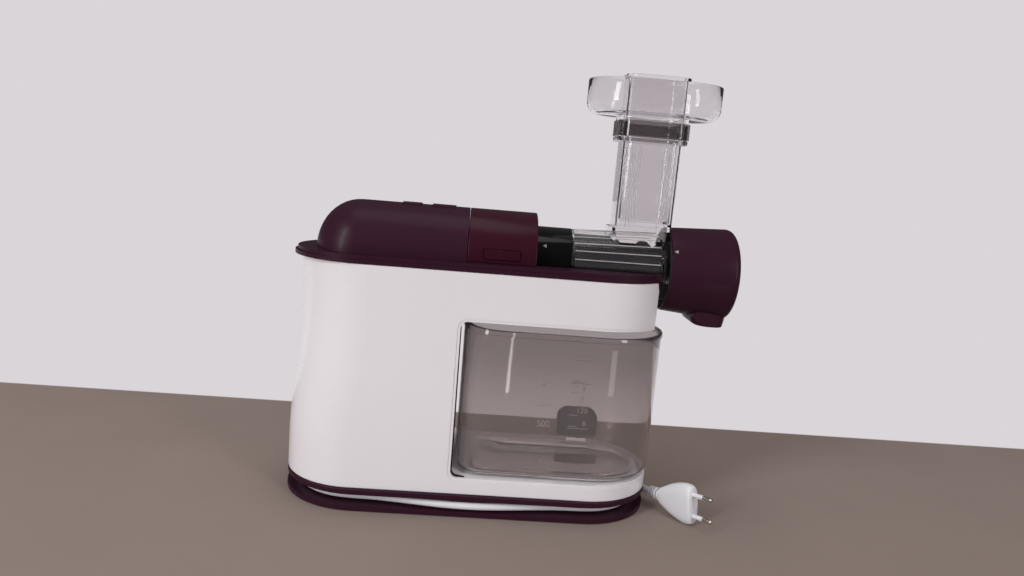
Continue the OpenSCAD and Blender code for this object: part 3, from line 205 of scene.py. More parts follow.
@dataclass(frozen=True)
class Moulded:
    """Opaque moulded plastic or rubber: mould grain, faint flow marks and rubbed edges.

    Attributes:
        name: The finish's name.
        colour: Linear base colour.
        rough: Mean roughness.
        coat: Weight of the polished skin.
        grain: Depth of the mould grain in metres.
        grain_scale: Cells of the grain per metre.
        uneven: How much the colour varies.
        shine: How strongly the bare surface mirrors.
        flow_scale: Cells of the flow marks per metre.
        wear_scale: Cells of the rubbed places per metre.
        wear: How much the roughness varies.
        coat_rough: Roughness of the polished skin.
        grain_bump: Strength of the mould grain.
    """

    name: str
    colour: Colour
    rough: float
    coat: float = 0.0
    grain: float = 0.00002
    grain_scale: float = 2600.0
    uneven: float = 0.1
    shine: float = 0.5
    flow_scale: float = 22.0
    wear_scale: float = 160.0
    wear: float = 0.14
    coat_rough: float = 0.08
    grain_bump: float = 0.35

    def build(self) -> bpy.types.Material:
        """Return the node material."""
        shade = Shade(self.name)
        flow, rubbed = shade.noise(self.flow_scale, 4.0), shade.noise(self.wear_scale, 5.0)
        tint = shade.blend(flow, deeper(self.colour, 1 - self.uneven), deeper(self.colour, 1 + self.uneven))
        rough = shade.scaled(rubbed, self.wear, self.rough - self.wear / 2)
        shade.set({"Base Color": tint, "Roughness": rough, "Specular IOR Level": self.shine,
                   "Coat Weight": self.coat, "Coat Roughness": self.coat_rough})
        shade.bump(shade.noise(self.grain_scale, 2.0), self.grain_bump, self.grain)
        return shade.material


@dataclass(frozen=True)
class Clear:
    """Clear or smoked moulded plastic with faint ripples; its tint can be painted lighter towards the foot,
    as painted light.

    Attributes:
        name: The finish's name.
        tint: Colour that one wall gives the light.
        rough: Roughness of the polished skin.
        ior: Index of refraction, low because the walls are thin.
        coat: Weight of the polished skin.
        haze: Share of the light that the walls scatter.
        ripple: Depth of the ripples in metres.
        painted_foot_gain: Painted light: how much lighter the tint is at the foot.
        painted_foot_span: Heights between which the painted light at the foot fades out.
        cloud: How much the tint varies.
        smear: How much the roughness varies.
        cloud_scale: Cells of the tint's clouds per metre.
        smear_scale: Cells of the smears per metre.
        ripple_scale: Cells of the ripples per metre.
        ripple_bump: Strength of the ripples.
        coat_rough: Roughness of the skin's coat.
    """

    name: str
    tint: Colour
    rough: float = 0.02
    ior: float = 1.2
    coat: float = 0.6
    haze: float = 0.0
    ripple: float = 0.00006
    painted_foot_gain: float = 1.0
    painted_foot_span: tuple[float, float] = (0.075, 0.14)
    cloud: float = 0.1
    smear: float = 0.03
    cloud_scale: float = 12.0
    smear_scale: float = 45.0
    ripple_scale: float = 60.0
    ripple_bump: float = 0.3
    coat_rough: float = 0.04

    def build(self) -> bpy.types.Material:
        """Return the node material."""
        shade = Shade(self.name)
        # Painted light: below these heights the tint is painted lighter by the foot gain, fading out upwards.
        share = shade.rise(shade.along("Object", "Z"), self.painted_foot_span)
        clouds = shade.scaled(shade.noise(self.cloud_scale), self.cloud, share)
        depth = shade.math("SUBTRACT", clouds, self.cloud / 2)
        least = max(0.0, self.rough - self.smear / 2)
        smear = shade.scaled(shade.noise(self.smear_scale, 4.0), self.smear, least)
        shade.set({"Base Color": shade.blend(depth, deeper(self.tint, self.painted_foot_gain), self.tint),
                   "Transmission Weight": 1.0 - self.haze, "IOR": self.ior, "Coat Weight": self.coat,
                   "Coat Roughness": self.coat_rough, "Roughness": smear})
        shade.bump(shade.noise(self.ripple_scale, 2.0), self.ripple_bump, self.ripple)
        return shade.material


@dataclass(frozen=True)
class Metal:
    """Turned, ground or plated metal.

    Attributes:
        name: The finish's name.
        colour: Linear base colour.
        rough: Mean roughness.
        lines: Stretch of the tool marks on each axis.
        swing: How much the roughness varies.
        mark_scale: Cells of the tool marks per metre, before the stretch.
        mark_shade: How dark the marks are.
        mark_bump: Strength of the marks.
        mark_deep: Their depth in metres.
    """

    name: str
    colour: Colour
    rough: float
    lines: tuple[float, float, float] = (1.0, 30.0, 30.0)
    swing: float = 0.16
    mark_scale: float = 90.0
    mark_shade: float = 0.88
    mark_bump: float = 0.2
    mark_deep: float = 0.00002

    def build(self) -> bpy.types.Material:
        """Return the node material."""
        shade = Shade(self.name)
        marks = shade.noise(self.mark_scale, stretch=self.lines)
        tint = shade.blend(marks, deeper(self.colour, self.mark_shade), self.colour)
        shade.set({"Base Color": tint, "Metallic": 1.0,
                   "Roughness": shade.scaled(marks, self.swing, self.rough - self.swing / 2)})
        shade.bump(marks, self.mark_bump, self.mark_deep)
        return shade.material


class Finish(Enum):
    """The finishes, each named by the record's material slot that it dresses."""

    PLUM = "plum_plastic", Moulded(
        "plum satin", (0.0308, 0.0068, 0.0178), 0.42, 0.03, 0.00003, 2200.0, 0.12, 0.13)
    BURGUNDY = "burgundy_plastic", Moulded(
        "burgundy gloss", (0.0325, 0.0044, 0.0118), 0.3, 0.04, 0.00001, shine=0.12)
    WHITE = "white_plastic", Moulded("white gloss", (0.79, 0.764, 0.792), 0.22, 0.45, 0.00001, 1500.0, 0.02)
    RUBBER = "foot_rubber", Moulded("dark rubber", (0.022, 0.021, 0.022), 0.7, 0.0, 0.00004, 3000.0)
    STOPPER = "foot_rubber", Moulded("stopper silicone", (0.1, 0.095, 0.1), 0.5, 0.0, 0.00002, 2400.0)
    STEEL = "steel", Metal("ground steel", (0.62, 0.62, 0.64), 0.3)
    BAND = "black_plastic", Clear("smoked band", (0.335, 0.31, 0.31), 0.05)
    BLACK = "black_plastic", Moulded("black gloss", (0.0022, 0.0022, 0.0026), 0.12, 0.25, 0.00001, shine=0.1)
    BOARD = "board", Moulded("green board", (0.02, 0.13, 0.045), 0.4, 0.2, 0.00005, 900.0, 0.3)
    LEADS = "lead_insulation", Moulded("grey insulation", (0.09, 0.09, 0.1), 0.5)
    GEAR = "gear_plastic", Moulded("gear plastic", (0.72, 0.69, 0.6), 0.45)
    BRONZE = "bush_bronze", Metal("sintered bronze", (0.62, 0.42, 0.2), 0.42, (12.0, 12.0, 12.0))
    CORD = "cord_white", Moulded("white cord", (0.73, 0.73, 0.76), 0.42, 0.0, 0.00003, 2600.0, 0.03)
    NICKEL = "pin_nickel", Metal("nickel pins", (0.72, 0.69, 0.62), 0.2)
    CLEAR = "clear_plastic", Clear("clear plastic", (0.91, 0.898, 0.905), ior=1.11)
    FROST = "clear_plastic", Clear("frosted lines", (0.8, 0.78, 0.79), 0.3, 1.3, 0.4, 0.5)
    SCREW = "auger_plastic", Moulded("screw plastic", (0.011, 0.011, 0.012), 0.34, 0.0, shine=0.15)
    MARK = "smoke_plastic", Moulded("raised marks", (0.85, 0.82, 0.8), 0.3, 0.3, 0.00001)
    ARROW = "plum_plastic", Moulded("pale mark", (0.36, 0.33, 0.34), 0.45, 0.0, 0.00001)
    # The smoked jug's tint is painted lighter at its foot: painted light.
    SMOKE = "smoke_plastic", Clear(
        "smoked plastic", (0.512, 0.474, 0.468), 0.01, 1.28, 0.5, 0.08, painted_foot_gain=1.34)

    def __init__(self, slot: str, recipe: Moulded | Clear | Metal) -> None:
        """Keep the record's slot and the recipe."""
        self.slot = slot
        self.recipe = recipe

    @classmethod
    def extras(cls) -> tuple["Finish", ...]:
        """Return the finishes that only a few pieces of a slot wear."""
        return cls.MARK, cls.BAND, cls.ARROW, cls.STOPPER, cls.FROST


class Paints:
    """Builds each finish once."""

    def __init__(self) -> None:
        """Start with no material made."""
        self._made: dict[Finish, bpy.types.Material] = {}

    def get(self, finish: Finish) -> bpy.types.Material:
        """Return the material of a finish."""
        if finish not in self._made:
            self._made[finish] = finish.recipe.build()
        return self._made[finish]


# Mesh helpers


def vec(x: float, y: float, z: float) -> Vector:
    """Return a point."""
    return Vector((x, y, z))


def linked(name: str, data: bpy.types.ID) -> bpy.types.Object:
    """Make an object of a mesh, curve, lamp or camera and link it to the scene."""
    made = bpy.data.objects.new(name, data)
    bpy.context.scene.collection.objects.link(made)
    return made


@contextmanager
def opened(*pieces: bpy.types.Object) -> Iterator[bmesh.types.BMesh]:
    """Open the meshes of pieces for work as one, and write it back to the first."""
    work = bmesh.new()
    for piece in pieces:
        work.from_mesh(piece.data)
    yield work
    work.to_mesh(pieces[0].data)
    work.free()


def mesh_object(name: str, points: Sequence[Vector], faces: Sequence[Sequence[int]]) -> bpy.types.Object:
    """Make an object from points and faces.

    Args:
        name: The object's name.
        points: Corner points.
        faces: Corner numbers of each face.

    Returns:
        The object, linked to the scene.
    """
    mesh = bpy.data.meshes.new(name)
    mesh.from_pydata([tuple(p) for p in points], [], [tuple(f) for f in faces])
    mesh.validate()
    return linked(name, mesh)


def loft(name: str, rings: Sequence[Ring], closed: bool = False) -> bpy.types.Object:
    """Make a skin through rings of points.

    Args:
        name: The object's name.
        rings: Rings with the same number of points.
        closed: Whether the last ring joins the first. If not, both are filled.

    Returns:
        The object, with its faces outwards.
    """
    count = len(rings[0])
    points = [p for ring in rings for p in ring]
    faces: list[Sequence[int]] = []
    levels = len(rings)
    for level in range(levels if closed else levels - 1):
        low, high = level * count, ((level + 1) % levels) * count
        for i in range(count):
            j = (i + 1) % count
            faces.append((low + i, low + j, high + j, high + i))
    if not closed:
        faces.append(tuple(reversed(range(count))))
        faces.append(tuple(range((levels - 1) * count, levels * count)))
    made = mesh_object(name, points, faces)
    outwards(made)
    return made


def outwards(piece: bpy.types.Object) -> None:
    """Merge doubles and turn a mesh's faces outwards."""
    with opened(piece) as work:
        bmesh.ops.remove_doubles(work, verts=work.verts, dist=1e-7)
        bmesh.ops.recalc_face_normals(work, faces=work.faces)


def shift(piece: bpy.types.Object, *offset: float) -> None:
    """Move a piece's mesh; its object stays at the origin."""
    piece.data.transform(Matrix.Translation(offset))


def smooth(piece: bpy.types.Object, degrees: float) -> None:
    """Shade a mesh smooth, with its edges past an angle kept sharp."""
    piece.data.shade_smooth()
    piece.data.set_sharp_from_angle(angle=math.radians(degrees))


def applied(piece: bpy.types.Object) -> bpy.types.Object:
    """Turn a piece's modifiers into plain mesh and return the piece."""
    bpy.context.view_layer.update()
    graph = bpy.context.evaluated_depsgraph_get()
    mesh = bpy.data.meshes.new_from_object(piece.evaluated_get(graph))
    piece.modifiers.clear()
    piece.data = mesh
    mesh.name = piece.name
    return piece


def cut(piece: bpy.types.Object, tool: bpy.types.Object, operation: str = "DIFFERENCE") -> None:
    """Cut a tool out of a solid, or join it on, and drop the tool."""
    modifier = piece.modifiers.new("cut", "BOOLEAN")
    modifier.operation = operation
    modifier.solver = "EXACT"
    modifier.object = tool
    applied(piece)
    bpy.data.objects.remove(tool)


def rounded(piece: bpy.types.Object, width: float, degrees: float) -> bpy.types.Object:
    """Round a solid's sharp edges.

    Args:
        piece: The solid.
        width: Width of the rounding.
        degrees: Only edges past this angle are rounded.

    Returns:
        The piece.
    """
    modifier = piece.modifiers.new("round", "BEVEL")
    modifier.width = width
    modifier.segments = 3
    modifier.limit_method = "ANGLE"
    modifier.angle_limit = math.radians(degrees)
    modifier.use_clamp_overlap = True
    modifier.harden_normals = False
    return applied(piece)


def evened(piece: bpy.types.Object) -> bpy.types.Object:
    """Even out the shading of a piece's large faces and return the piece."""
    piece.modifiers.new("even", "WEIGHTED_NORMAL").keep_sharp = True
    return applied(piece)


def round_ring(x: float, radius: float, middle: tuple[float, float], count: int) -> Ring:
    """Return a circle about a line along X.

    Args:
        x: Where the circle stands.
        radius: Its radius.
        middle: The line's y and z.
        count: Number of points.
    """
    return [vec(x, middle[0] + radius * math.cos(t), middle[1] + radius * math.sin(t))
            for t in (2 * math.pi * i / count for i in range(count))]


def quarter(steps: int, radius: float) -> Outline:
    """Return a quarter round's distances from its wall and its floor, from the floor up."""
    turns = (math.pi / 2 * k / steps for k in range(steps + 1))
    return [(radius * (1 - math.sin(t)), radius * (1 - math.cos(t))) for t in turns]


def soft_rect(width: float, depth: float, radius: float, steps: int) -> Outline:
    """Return a rounded rectangle about the origin, anticlockwise."""
    points = []
    for corner, (sx, sy) in enumerate([(1, 1), (-1, 1), (-1, -1), (1, -1)]):
        for i in range(steps + 1):
            angle = math.radians(90 * (corner + i / steps))
            points.append((sx * (width / 2 - radius) + radius * math.cos(angle),
                           sy * (depth / 2 - radius) + radius * math.sin(angle)))
    return points


def oval(x0: float, x1: float, a0: float, a1: float, half: float, steps: int = 40,
         straight: int = 10) -> Outline:
    """Return an outline with straight sides and elliptical ends, anticlockwise from above.

    Args:
        x0: Left end.
        x1: Right end.
        a0: Length of the left end's ellipse.
        a1: Length of the right end's ellipse.
        half: Half the depth.
        steps: Steps round each end.
        straight: Steps along each side.
    """
    points = [(x1 - a1 + a1 * math.cos(t), half * math.sin(t))
              for t in (math.radians(180 * i / steps - 90) for i in range(steps + 1))]
    right, left = x1 - a1, x0 + a0
    points += [(right + (left - right) * i / straight, half) for i in range(1, straight)]
    points += [(x0 + a0 + a0 * math.cos(t), half * math.sin(t))
               for t in (math.radians(180 * i / steps + 90) for i in range(steps + 1))]
    points += [(left + (right - left) * i / straight, -half) for i in range(1, straight)]
    return points


def eased(corners: Outline, radius: float, steps: int = 4) -> Outline:
    """Round the corners of an outline."""
    points = []
    for i, corner in enumerate(corners):
        here = Vector(corner)
        before, after = Vector(corners[i - 1]) - here, Vector(corners[(i + 1) % len(corners)]) - here
        start = here + before.normalized() * min(radius, before.length * 0.45)
        end = here + after.normalized() * min(radius, after.length * 0.45)
        for t in (k / steps for k in range(steps + 1)):
            points.append(tuple(start * (1 - t) ** 2 + here * 2 * t * (1 - t) + end * t * t))
    return points


def level(points: Outline, z: float) -> Ring:
    """Lift an outline to a height."""
    return [vec(x, y, z) for x, y in points]


def slab(name: str, low: Vector, high: Vector) -> bpy.types.Object:
    """Make a box from its lowest and highest corners."""
    points = [vec(x, y, z) for z in (low.z, high.z) for y in (low.y, high.y) for x in (low.x, high.x)]
    faces = [(0, 2, 3, 1), (4, 5, 7, 6), (0, 1, 5, 4), (2, 6, 7, 3), (0, 4, 6, 2), (1, 3, 7, 5)]
    return mesh_object(name, points, faces)


def merged_copy(node: bpy.types.Object, name: str) -> bpy.types.Object:
    """Copy a frame node's mesh as closed, flat-faced geometry.

    Args:
        node: The frame's object.
        name: The copy's name.

    Returns:
        The copy, linked to the scene.
    """
    made = linked(name, node.data.copy())
    with opened(made) as work:
        bmesh.ops.remove_doubles(work, verts=work.verts, dist=2e-6)
        bmesh.ops.dissolve_limit(work, angle_limit=math.radians(0.6), verts=work.verts, edges=work.edges)
    return made


@dataclass
class Kit:
    """What every sub-assembly needs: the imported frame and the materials."""

    frame: dict
    paints: Paints

    def cad(self, node: str) -> bpy.types.Object:
        """Return a frame node's object."""
        return self.frame["nodes"][node]

    def finish_of(self, node: str) -> Finish:
        """Return the plain finish of a frame node's material slot."""
        slots = {entry["node"]: entry["material_slot"] for entry in self.frame["record"]["subparts"]}
        fits = (finish for finish in Finish if finish.slot == slots[node])
        return next(finish for finish in fits if finish not in Finish.extras())

    def grown(self, row: RibRow | ScaleRow | BarRow | BarFan, finish: Finish) -> bpy.types.Object:
        """Build a row of copies in a finish."""
        return row.build(self.paints.get(finish))

    def wear(self, piece: bpy.types.Object, finish: Finish) -> None:
        """Give a piece one finish."""
        piece.data.materials.clear()
        piece.data.materials.append(self.paints.get(finish))

    def mount(self, piece: bpy.types.Object, body: str, finish: Finish, *stands_for: str,
              sharp: float = 0.0) -> bpy.types.Object:
        """Shade and dress a piece, let it ride on a body and hide the nodes that it stands for.

        Args:
            piece: The finished piece, in place.
            body: The body that carries it.
            finish: Its finish.
            stands_for: Nodes that it replaces.
            sharp: The rest is shaded smooth around edges past this angle; none leaves the shading.

        Returns:
            The piece.
        """
        if sharp:
            smooth(piece, sharp)
        self.wear(piece, finish)
        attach(piece, body)
        if stands_for:
            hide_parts(*stands_for)
        LOG.info("%s rides on %s", piece.name, body)
        return piece


@dataclass(frozen=True)
class Lamp:
    """A soft lamp that the camera doesn't see.

    Attributes:
        name: The lamp's name.
        place: Where it stands.
        target: What it looks at.
        size: Its width and height.
        watts: Its power.
    """

    name: str
    place: tuple[float, float, float]
    target: tuple[float, float, float]
    size: tuple[float, float]
    watts: float

    def build(self) -> None:
        """Add the lamp."""
        data = bpy.data.lights.new(self.name, "AREA")
        data.shape = "RECTANGLE"
        data.size, data.size_y = self.size
        data.energy = self.watts
        made = linked(self.name, data)
        made.location = self.place
        look = Vector(self.target) - Vector(self.place)
        made.rotation_euler = look.to_track_quat("-Z", "Y").to_euler()
        made.visible_camera = False


MIDDLE = (0.02, 0.0, 0.18)
LAMPS = (
    Lamp("window", (-1.35, -1.2, 0.9), MIDDLE, (0.4, 1.5), 24.0),
    Lamp("fill", (1.25, -1.35, 0.8), MIDDLE, (0.3, 1.2), 9.0),
    Lamp("left glint", (0.0444, -0.4, 0.04), (0.024, 0.0, 0.1), (0.005, 0.08), 0.008),
    Lamp("right glint", (0.275, -0.362, 0.035), (0.112, -0.053, 0.1), (0.06, 0.06), 0.02),
    Lamp("top", (-0.1, -0.1, 2.0), MIDDLE, (1.2, 0.8), 5.0),
)


@dataclass
class Studio:
    """The camera at the photograph's place, a table before a pale ground, and soft light."""

    eye: tuple[float, float, float] = (-0.010689, -0.642572, 0.291542)
    yaw: float = 0.056945
    pitch: float = 0.163677
    roll: float = 0.084158
    lens_px: float = 750.0
    frame_px: float = 1024.0
    sensor: float = 36.0
    floor_size: float = 14.0
    table_colour: Colour = (0.27, 0.217, 0.189)
    table_back: float = 0.203
    table_ease: float = 0.004
    table_shades: tuple[float, float] = (0.93, 1.05)
    table_scale: float = 9.0
    table_rough: tuple[float, float, float] = (40.0, 0.1, 0.5)
    sky_colour: Colour = (0.70, 0.665, 0.69)
    sky_light: float = 0.62
    ceiling_span: tuple[float, float] = (0.15, 0.95)
    ceiling_light: tuple[float, float] = (0.12, 0.3)
    none: Colour = (0.0, 0.0, 0.0)

    def camera(self) -> None:
        """Make the camera."""
        forward = vec(math.sin(self.yaw) * math.cos(self.pitch), math.cos(self.yaw) * math.cos(self.pitch),
                      -math.sin(self.pitch))
        right = vec(math.cos(self.yaw), -math.sin(self.yaw), 0.0)
        down = forward.cross(right)
        turned_right = math.cos(self.roll) * right - math.sin(self.roll) * down
        turned_down = math.sin(self.roll) * right + math.cos(self.roll) * down
        data = bpy.data.cameras.new("camera")
        data.sensor_width = self.sensor
        data.lens = self.lens_px * self.sensor / self.frame_px
        data.dof.use_dof = False
        made = linked("camera", data)
        axes = Matrix((turned_right, -turned_down, -forward)).transposed().to_4x4()
        made.matrix_world = Matrix.Translation(Vector(self.eye)) @ axes
        bpy.context.scene.camera = made

    def floor(self, height: float) -> None:
        """Lay the table at a height, with the pale ground going on behind it."""
        half = self.floor_size / 2
        corners = [vec(-half, -half, height), vec(half, -half, height), vec(half, half, height),
                   vec(-half, half, height)]
        made = mesh_object("floor", corners, [(0, 1, 2, 3)])
        shade = Shade("table and ground")
        behind = shade.rise(shade.along("Object", "Y"), (self.table_back, self.table_back + self.table_ease))
        dark, light = (deeper(self.table_colour, share) for share in self.table_shades)
        table = shade.blend(shade.noise(self.table_scale, 4.0), dark, light)
        scale, swing, least = self.table_rough
        shade.set({"Base Color": shade.blend(behind, table, self.none),
                   "Emission Color": shade.blend(behind, self.none, self.sky_colour),
                   "Emission Strength": 1.0, "Specular IOR Level": 0.0,
                   "Roughness": shade.scaled(shade.noise(scale), swing, least)})
        made.data.materials.append(shade.material)

    def sky(self) -> None:
        """Light the scene from a plain world, that gloss mirrors as a dim room with a bright ceiling."""
        world = bpy.data.worlds.new("studio")
        world.use_nodes = True
        world.node_tree.nodes.clear()
        sky = Wiring(world.node_tree)
        path = sky.node("ShaderNodeLightPath").outputs
        seen = sky.math("MAXIMUM", path["Is Camera Ray"], path["Is Transmission Ray"])
        ceiling = sky.rise(sky.along("Generated", "Z"), self.ceiling_span, self.ceiling_light)
        mirrored = sky.node("ShaderNodeMix", {}, {
            "Factor": path["Is Glossy Ray"], "A": self.sky_light, "B": ceiling}).outputs[0]
        strength = sky.node("ShaderNodeMix", {}, {"Factor": seen, "A": mirrored, "B": 1.0}).outputs[0]
        background = sky.node("ShaderNodeBackground", {}, {"Color": self.sky_colour, "Strength": strength})
        sky.node("ShaderNodeOutputWorld", {}, {"Surface": background.outputs[0]})
        bpy.context.scene.world = world

    def build(self, height: float) -> None:
        """Set up the camera, the table at a height, the sky and the lamps."""
        self.camera()
        self.floor(height)
        self.sky()
        for lamp in LAMPS:
            lamp.build()


@dataclass
class MainsLead:
    """The cord wound in the base's groove, and the plug that it ends in."""

    kit: Kit
    diameter: float = 6.2 * MM
    half_len: float = 159 * MM
    half_depth: float = 59.5 * MM
    end_len: float = 63 * MM
    height: float = 8.4 * MM
    deep: float = 12.3 * MM
    shallow: float = 4.2 * MM
    bow: float = 3.1 * MM
    gland_x: float = -46 * MM
    leave: tuple[tuple[float, float, float], ...] = (
        (155.3, 9.5, 9.1), (159.4, 0.5, 9.6), (162.3, -5.8, 10.3))
    plug_at: tuple[float, float, float] = (193.4, -49.3, 17.3)
    plug_az: float = -53.0
    plug_el: float = 7.0
    body_len: float = 34 * MM
    relief_len: float = 13 * MM
    relief_shape: tuple[tuple[float, float], ...] = ((0, 4.2 * MM), (0.5, 3.8 * MM), (1, 3.4 * MM))
    rib_count: int = 4
    rib_r: tuple[float, float] = (5.8 * MM, 5.0 * MM)
    rib_width: float = 1.7 * MM
    width: float = 35.3 * MM
    thick: float = 13.7 * MM
    pitch: float = 18.6 * MM
    pin_radius: float = 2 * MM
    pin_len: float = 19 * MM
    sleeve_len: float = 10 * MM
    sleeve_in: float = 0.05 * MM
    tip_len: float = 1.2 * MM
    turn_steps: int = 10
    start_steps: int = 5
    rear_steps: int = 12
    end_steps: int = 4
    plug_shares: tuple[tuple[float, float, float], ...] = (
        (0.0, 0.86, 0.86), (0.012, 0.905, 0.93), (0.04, 0.94, 0.98), (0.09, 0.975, 1.0), (0.16, 1.0, 1.0),
        (0.27, 0.985, 1.0), (0.4, 0.94, 0.99), (0.53, 0.865, 0.97), (0.66, 0.765, 0.94),
        (0.78, 0.65, 0.9), (0.88, 0.54, 0.86), (0.96, 0.45, 0.82), (1.0, 0.4, 0.78))

    def pose(self) -> Matrix:
        """Return the plug's own frame: X out of its face, Z across its pins."""
        turned = Matrix.Rotation(math.radians(self.plug_az), 4, "Z")
        lifted = Matrix.Rotation(math.radians(-self.plug_el), 4, "Y")
        return Matrix.Translation(Vector(self.plug_at) * MM) @ turned @ lifted

    def groove(self, side: int, share: float, inset: float) -> Vector:
        """Return a point of the groove; sides go back, right end, front, left end."""
        straight = self.half_len - self.end_len
        a, b = self.end_len - inset, self.half_depth - inset
        turn, way = math.pi * share, 1 if side < 2 else -1
        if side % 2:
            return vec(way * (straight + a * math.sin(turn)), way * b * math.cos(turn), self.height)
        return vec(way * (2 * straight * share - straight), way * b, self.height)

    def route(self) -> Ring:
        """Return the cord's route from its gland to the plug's relief."""
        straight = self.half_len - self.end_len
        start = (self.gland_x + straight) / (2 * straight)
        n, rear = self.turn_steps, self.rear_steps
        points = [self.groove(0, start + (1 - start) * k / self.start_steps, self.deep)
                  for k in range(self.start_steps)]
        points += [self.groove(1, k / n, self.deep) for k in range(n)]
        points += [self.groove(2, k / n, self.deep - (self.deep - self.bow) * math.sin(math.pi * k / n) ** 2)
                   for k in range(n)]
        points += [self.groove(3, k / n, self.deep) for k in range(n)]
        points += [self.groove(0, k / rear, self.deep - (self.deep - self.shallow) * min(1.0, k / 2))
                   for k in range(rear)]
        points += [self.groove(1, k / n, self.shallow) for k in range(self.end_steps)]
        points += [Vector(p) * MM for p in self.leave]
        pose = self.pose()
        tail = self.body_len + self.relief_len
        points += [pose @ vec(-tail - self.diameter, 0, 0), pose @ vec(-tail, 0, 0)]
        return points

    @staticmethod
    def eased(points: Ring, parts: int = 4) -> Ring:
        """Return a smooth line through points, with more of them."""
        line: Ring = []
        ends = [points[0] * 2 - points[1], *points, points[-1] * 2 - points[-2]]
        for i in range(1, len(ends) - 2):
            a, b, c, d = ends[i - 1:i + 3]
            for k in range(parts):
                t = k / parts
                line.append(0.5 * (2 * b + (c - a) * t + (2 * a - 5 * b + 4 * c - d) * t * t
                                   + (3 * b - a - 3 * c + d) * t ** 3))
        return [*line, points[-1]]

    def flex(self) -> None:
        """Lay the cord as one curve."""
        line = self.eased(self.route())
        curve = bpy.data.curves.new("mains_cord", "CURVE")
        curve.dimensions = "3D"
        curve.bevel_depth = self.diameter / 2
        curve.bevel_resolution = 5
        curve.use_fill_caps = True
        spline = curve.splines.new("POLY")
        spline.points.add(len(line) - 1)
        for point, place in zip(spline.points, line):
            point.co = (*place, 1.0)
        made = self.kit.mount(linked("mains_cord", curve), "machine", Finish.CORD, "power_cord")

    @staticmethod
    def oval_ring(x: float, half_z: float, half_y: float, power: float = 2.6, count: int = 40) -> Ring:
        """Return one rounded cross-section of the plug."""
        ring = []
        for i in range(count):
            t = 2 * math.pi * i / count
            c, s = math.cos(t), math.sin(t)
            ring.append(vec(x, math.copysign(abs(c) ** (2 / power), c) * half_y,
                            math.copysign(abs(s) ** (2 / power), s) * half_z))
        return ring

    def plug(self) -> bpy.types.Object:
        """Mould the plug's body: flat face, swelling flanks and a drawn-in neck."""
        rings = [self.oval_ring(-self.body_len * x, self.width / 2 * w, self.thick / 2 * t)
                 for x, w, t in self.plug_shares]
        made = loft("plug_moulding", rings)
        made.data.transform(self.pose())
        return self.kit.mount(made, "machine", Finish.CORD, "plug_body", sharp=50)

    def relief(self) -> bpy.types.Object:
        """Mould the ribbed strain relief with its ribs set along it."""
        core = loft("plug_relief_sleeve", [self.oval_ring(-self.body_len - self.relief_len * s, r, r, 2.0)
                                           for s, r in self.relief_shape])
        row = RibRow("relief_ribs", self.rib_count, self.relief_len * 0.8, *self.rib_r, self.rib_width)
        ribs = self.kit.grown(row, Finish.CORD)
        shift(ribs, -self.body_len - self.relief_len * 0.08, 0, 0)
        joined([core, ribs])
        core.data.transform(self.pose())
        return self.kit.mount(core, "machine", Finish.CORD, "plug_relief", sharp=50)

    def pins(self) -> list[bpy.types.Object]:
        """Turn the two pins and their half sleeves."""
        pieces = []
        for name, start, end, radius, finish in (
                ("pin_sleeves", -MM, self.sleeve_len, self.pin_radius - self.sleeve_in, Finish.CORD),
                ("plug_contacts", self.sleeve_len, self.pin_len, self.pin_radius, Finish.NICKEL)):
            tip = 0.0 if finish is Finish.CORD else self.tip_len
            steps = [(start, radius), (end - tip, radius), (end - tip * 0.4, radius * 0.86),
                     (end - tip * 0.1, radius * 0.55), (end, radius * 0.2)][:None if tip else 2]
            pair = []
            for side in (-1, 1):
                pair.append(loft(name, [self.oval_ring(x, r, r, 2.0, 24) for x, r in steps]))
                shift(pair[-1], 0, 0, side * self.pitch / 2)
            both = joined(pair)
            both.data.transform(self.pose())
            smooth(both, 50)
            stands = ("plug_pins",) if finish is Finish.NICKEL else ()
            pieces.append(self.kit.mount(both, "machine", finish, *stands))
        return pieces

    def build(self) -> None:
        """Make the cord and what is on it."""
        on_it = [self.relief(), self.plug(), *self.pins()]
        self.flex()


def joined(pieces: Sequence[bpy.types.Object]) -> bpy.types.Object:
    """Join a list of meshes into its first and return it."""
    with opened(*pieces):
        pass
    for piece in pieces[1:]:
        bpy.data.objects.remove(piece)
    return pieces[0]


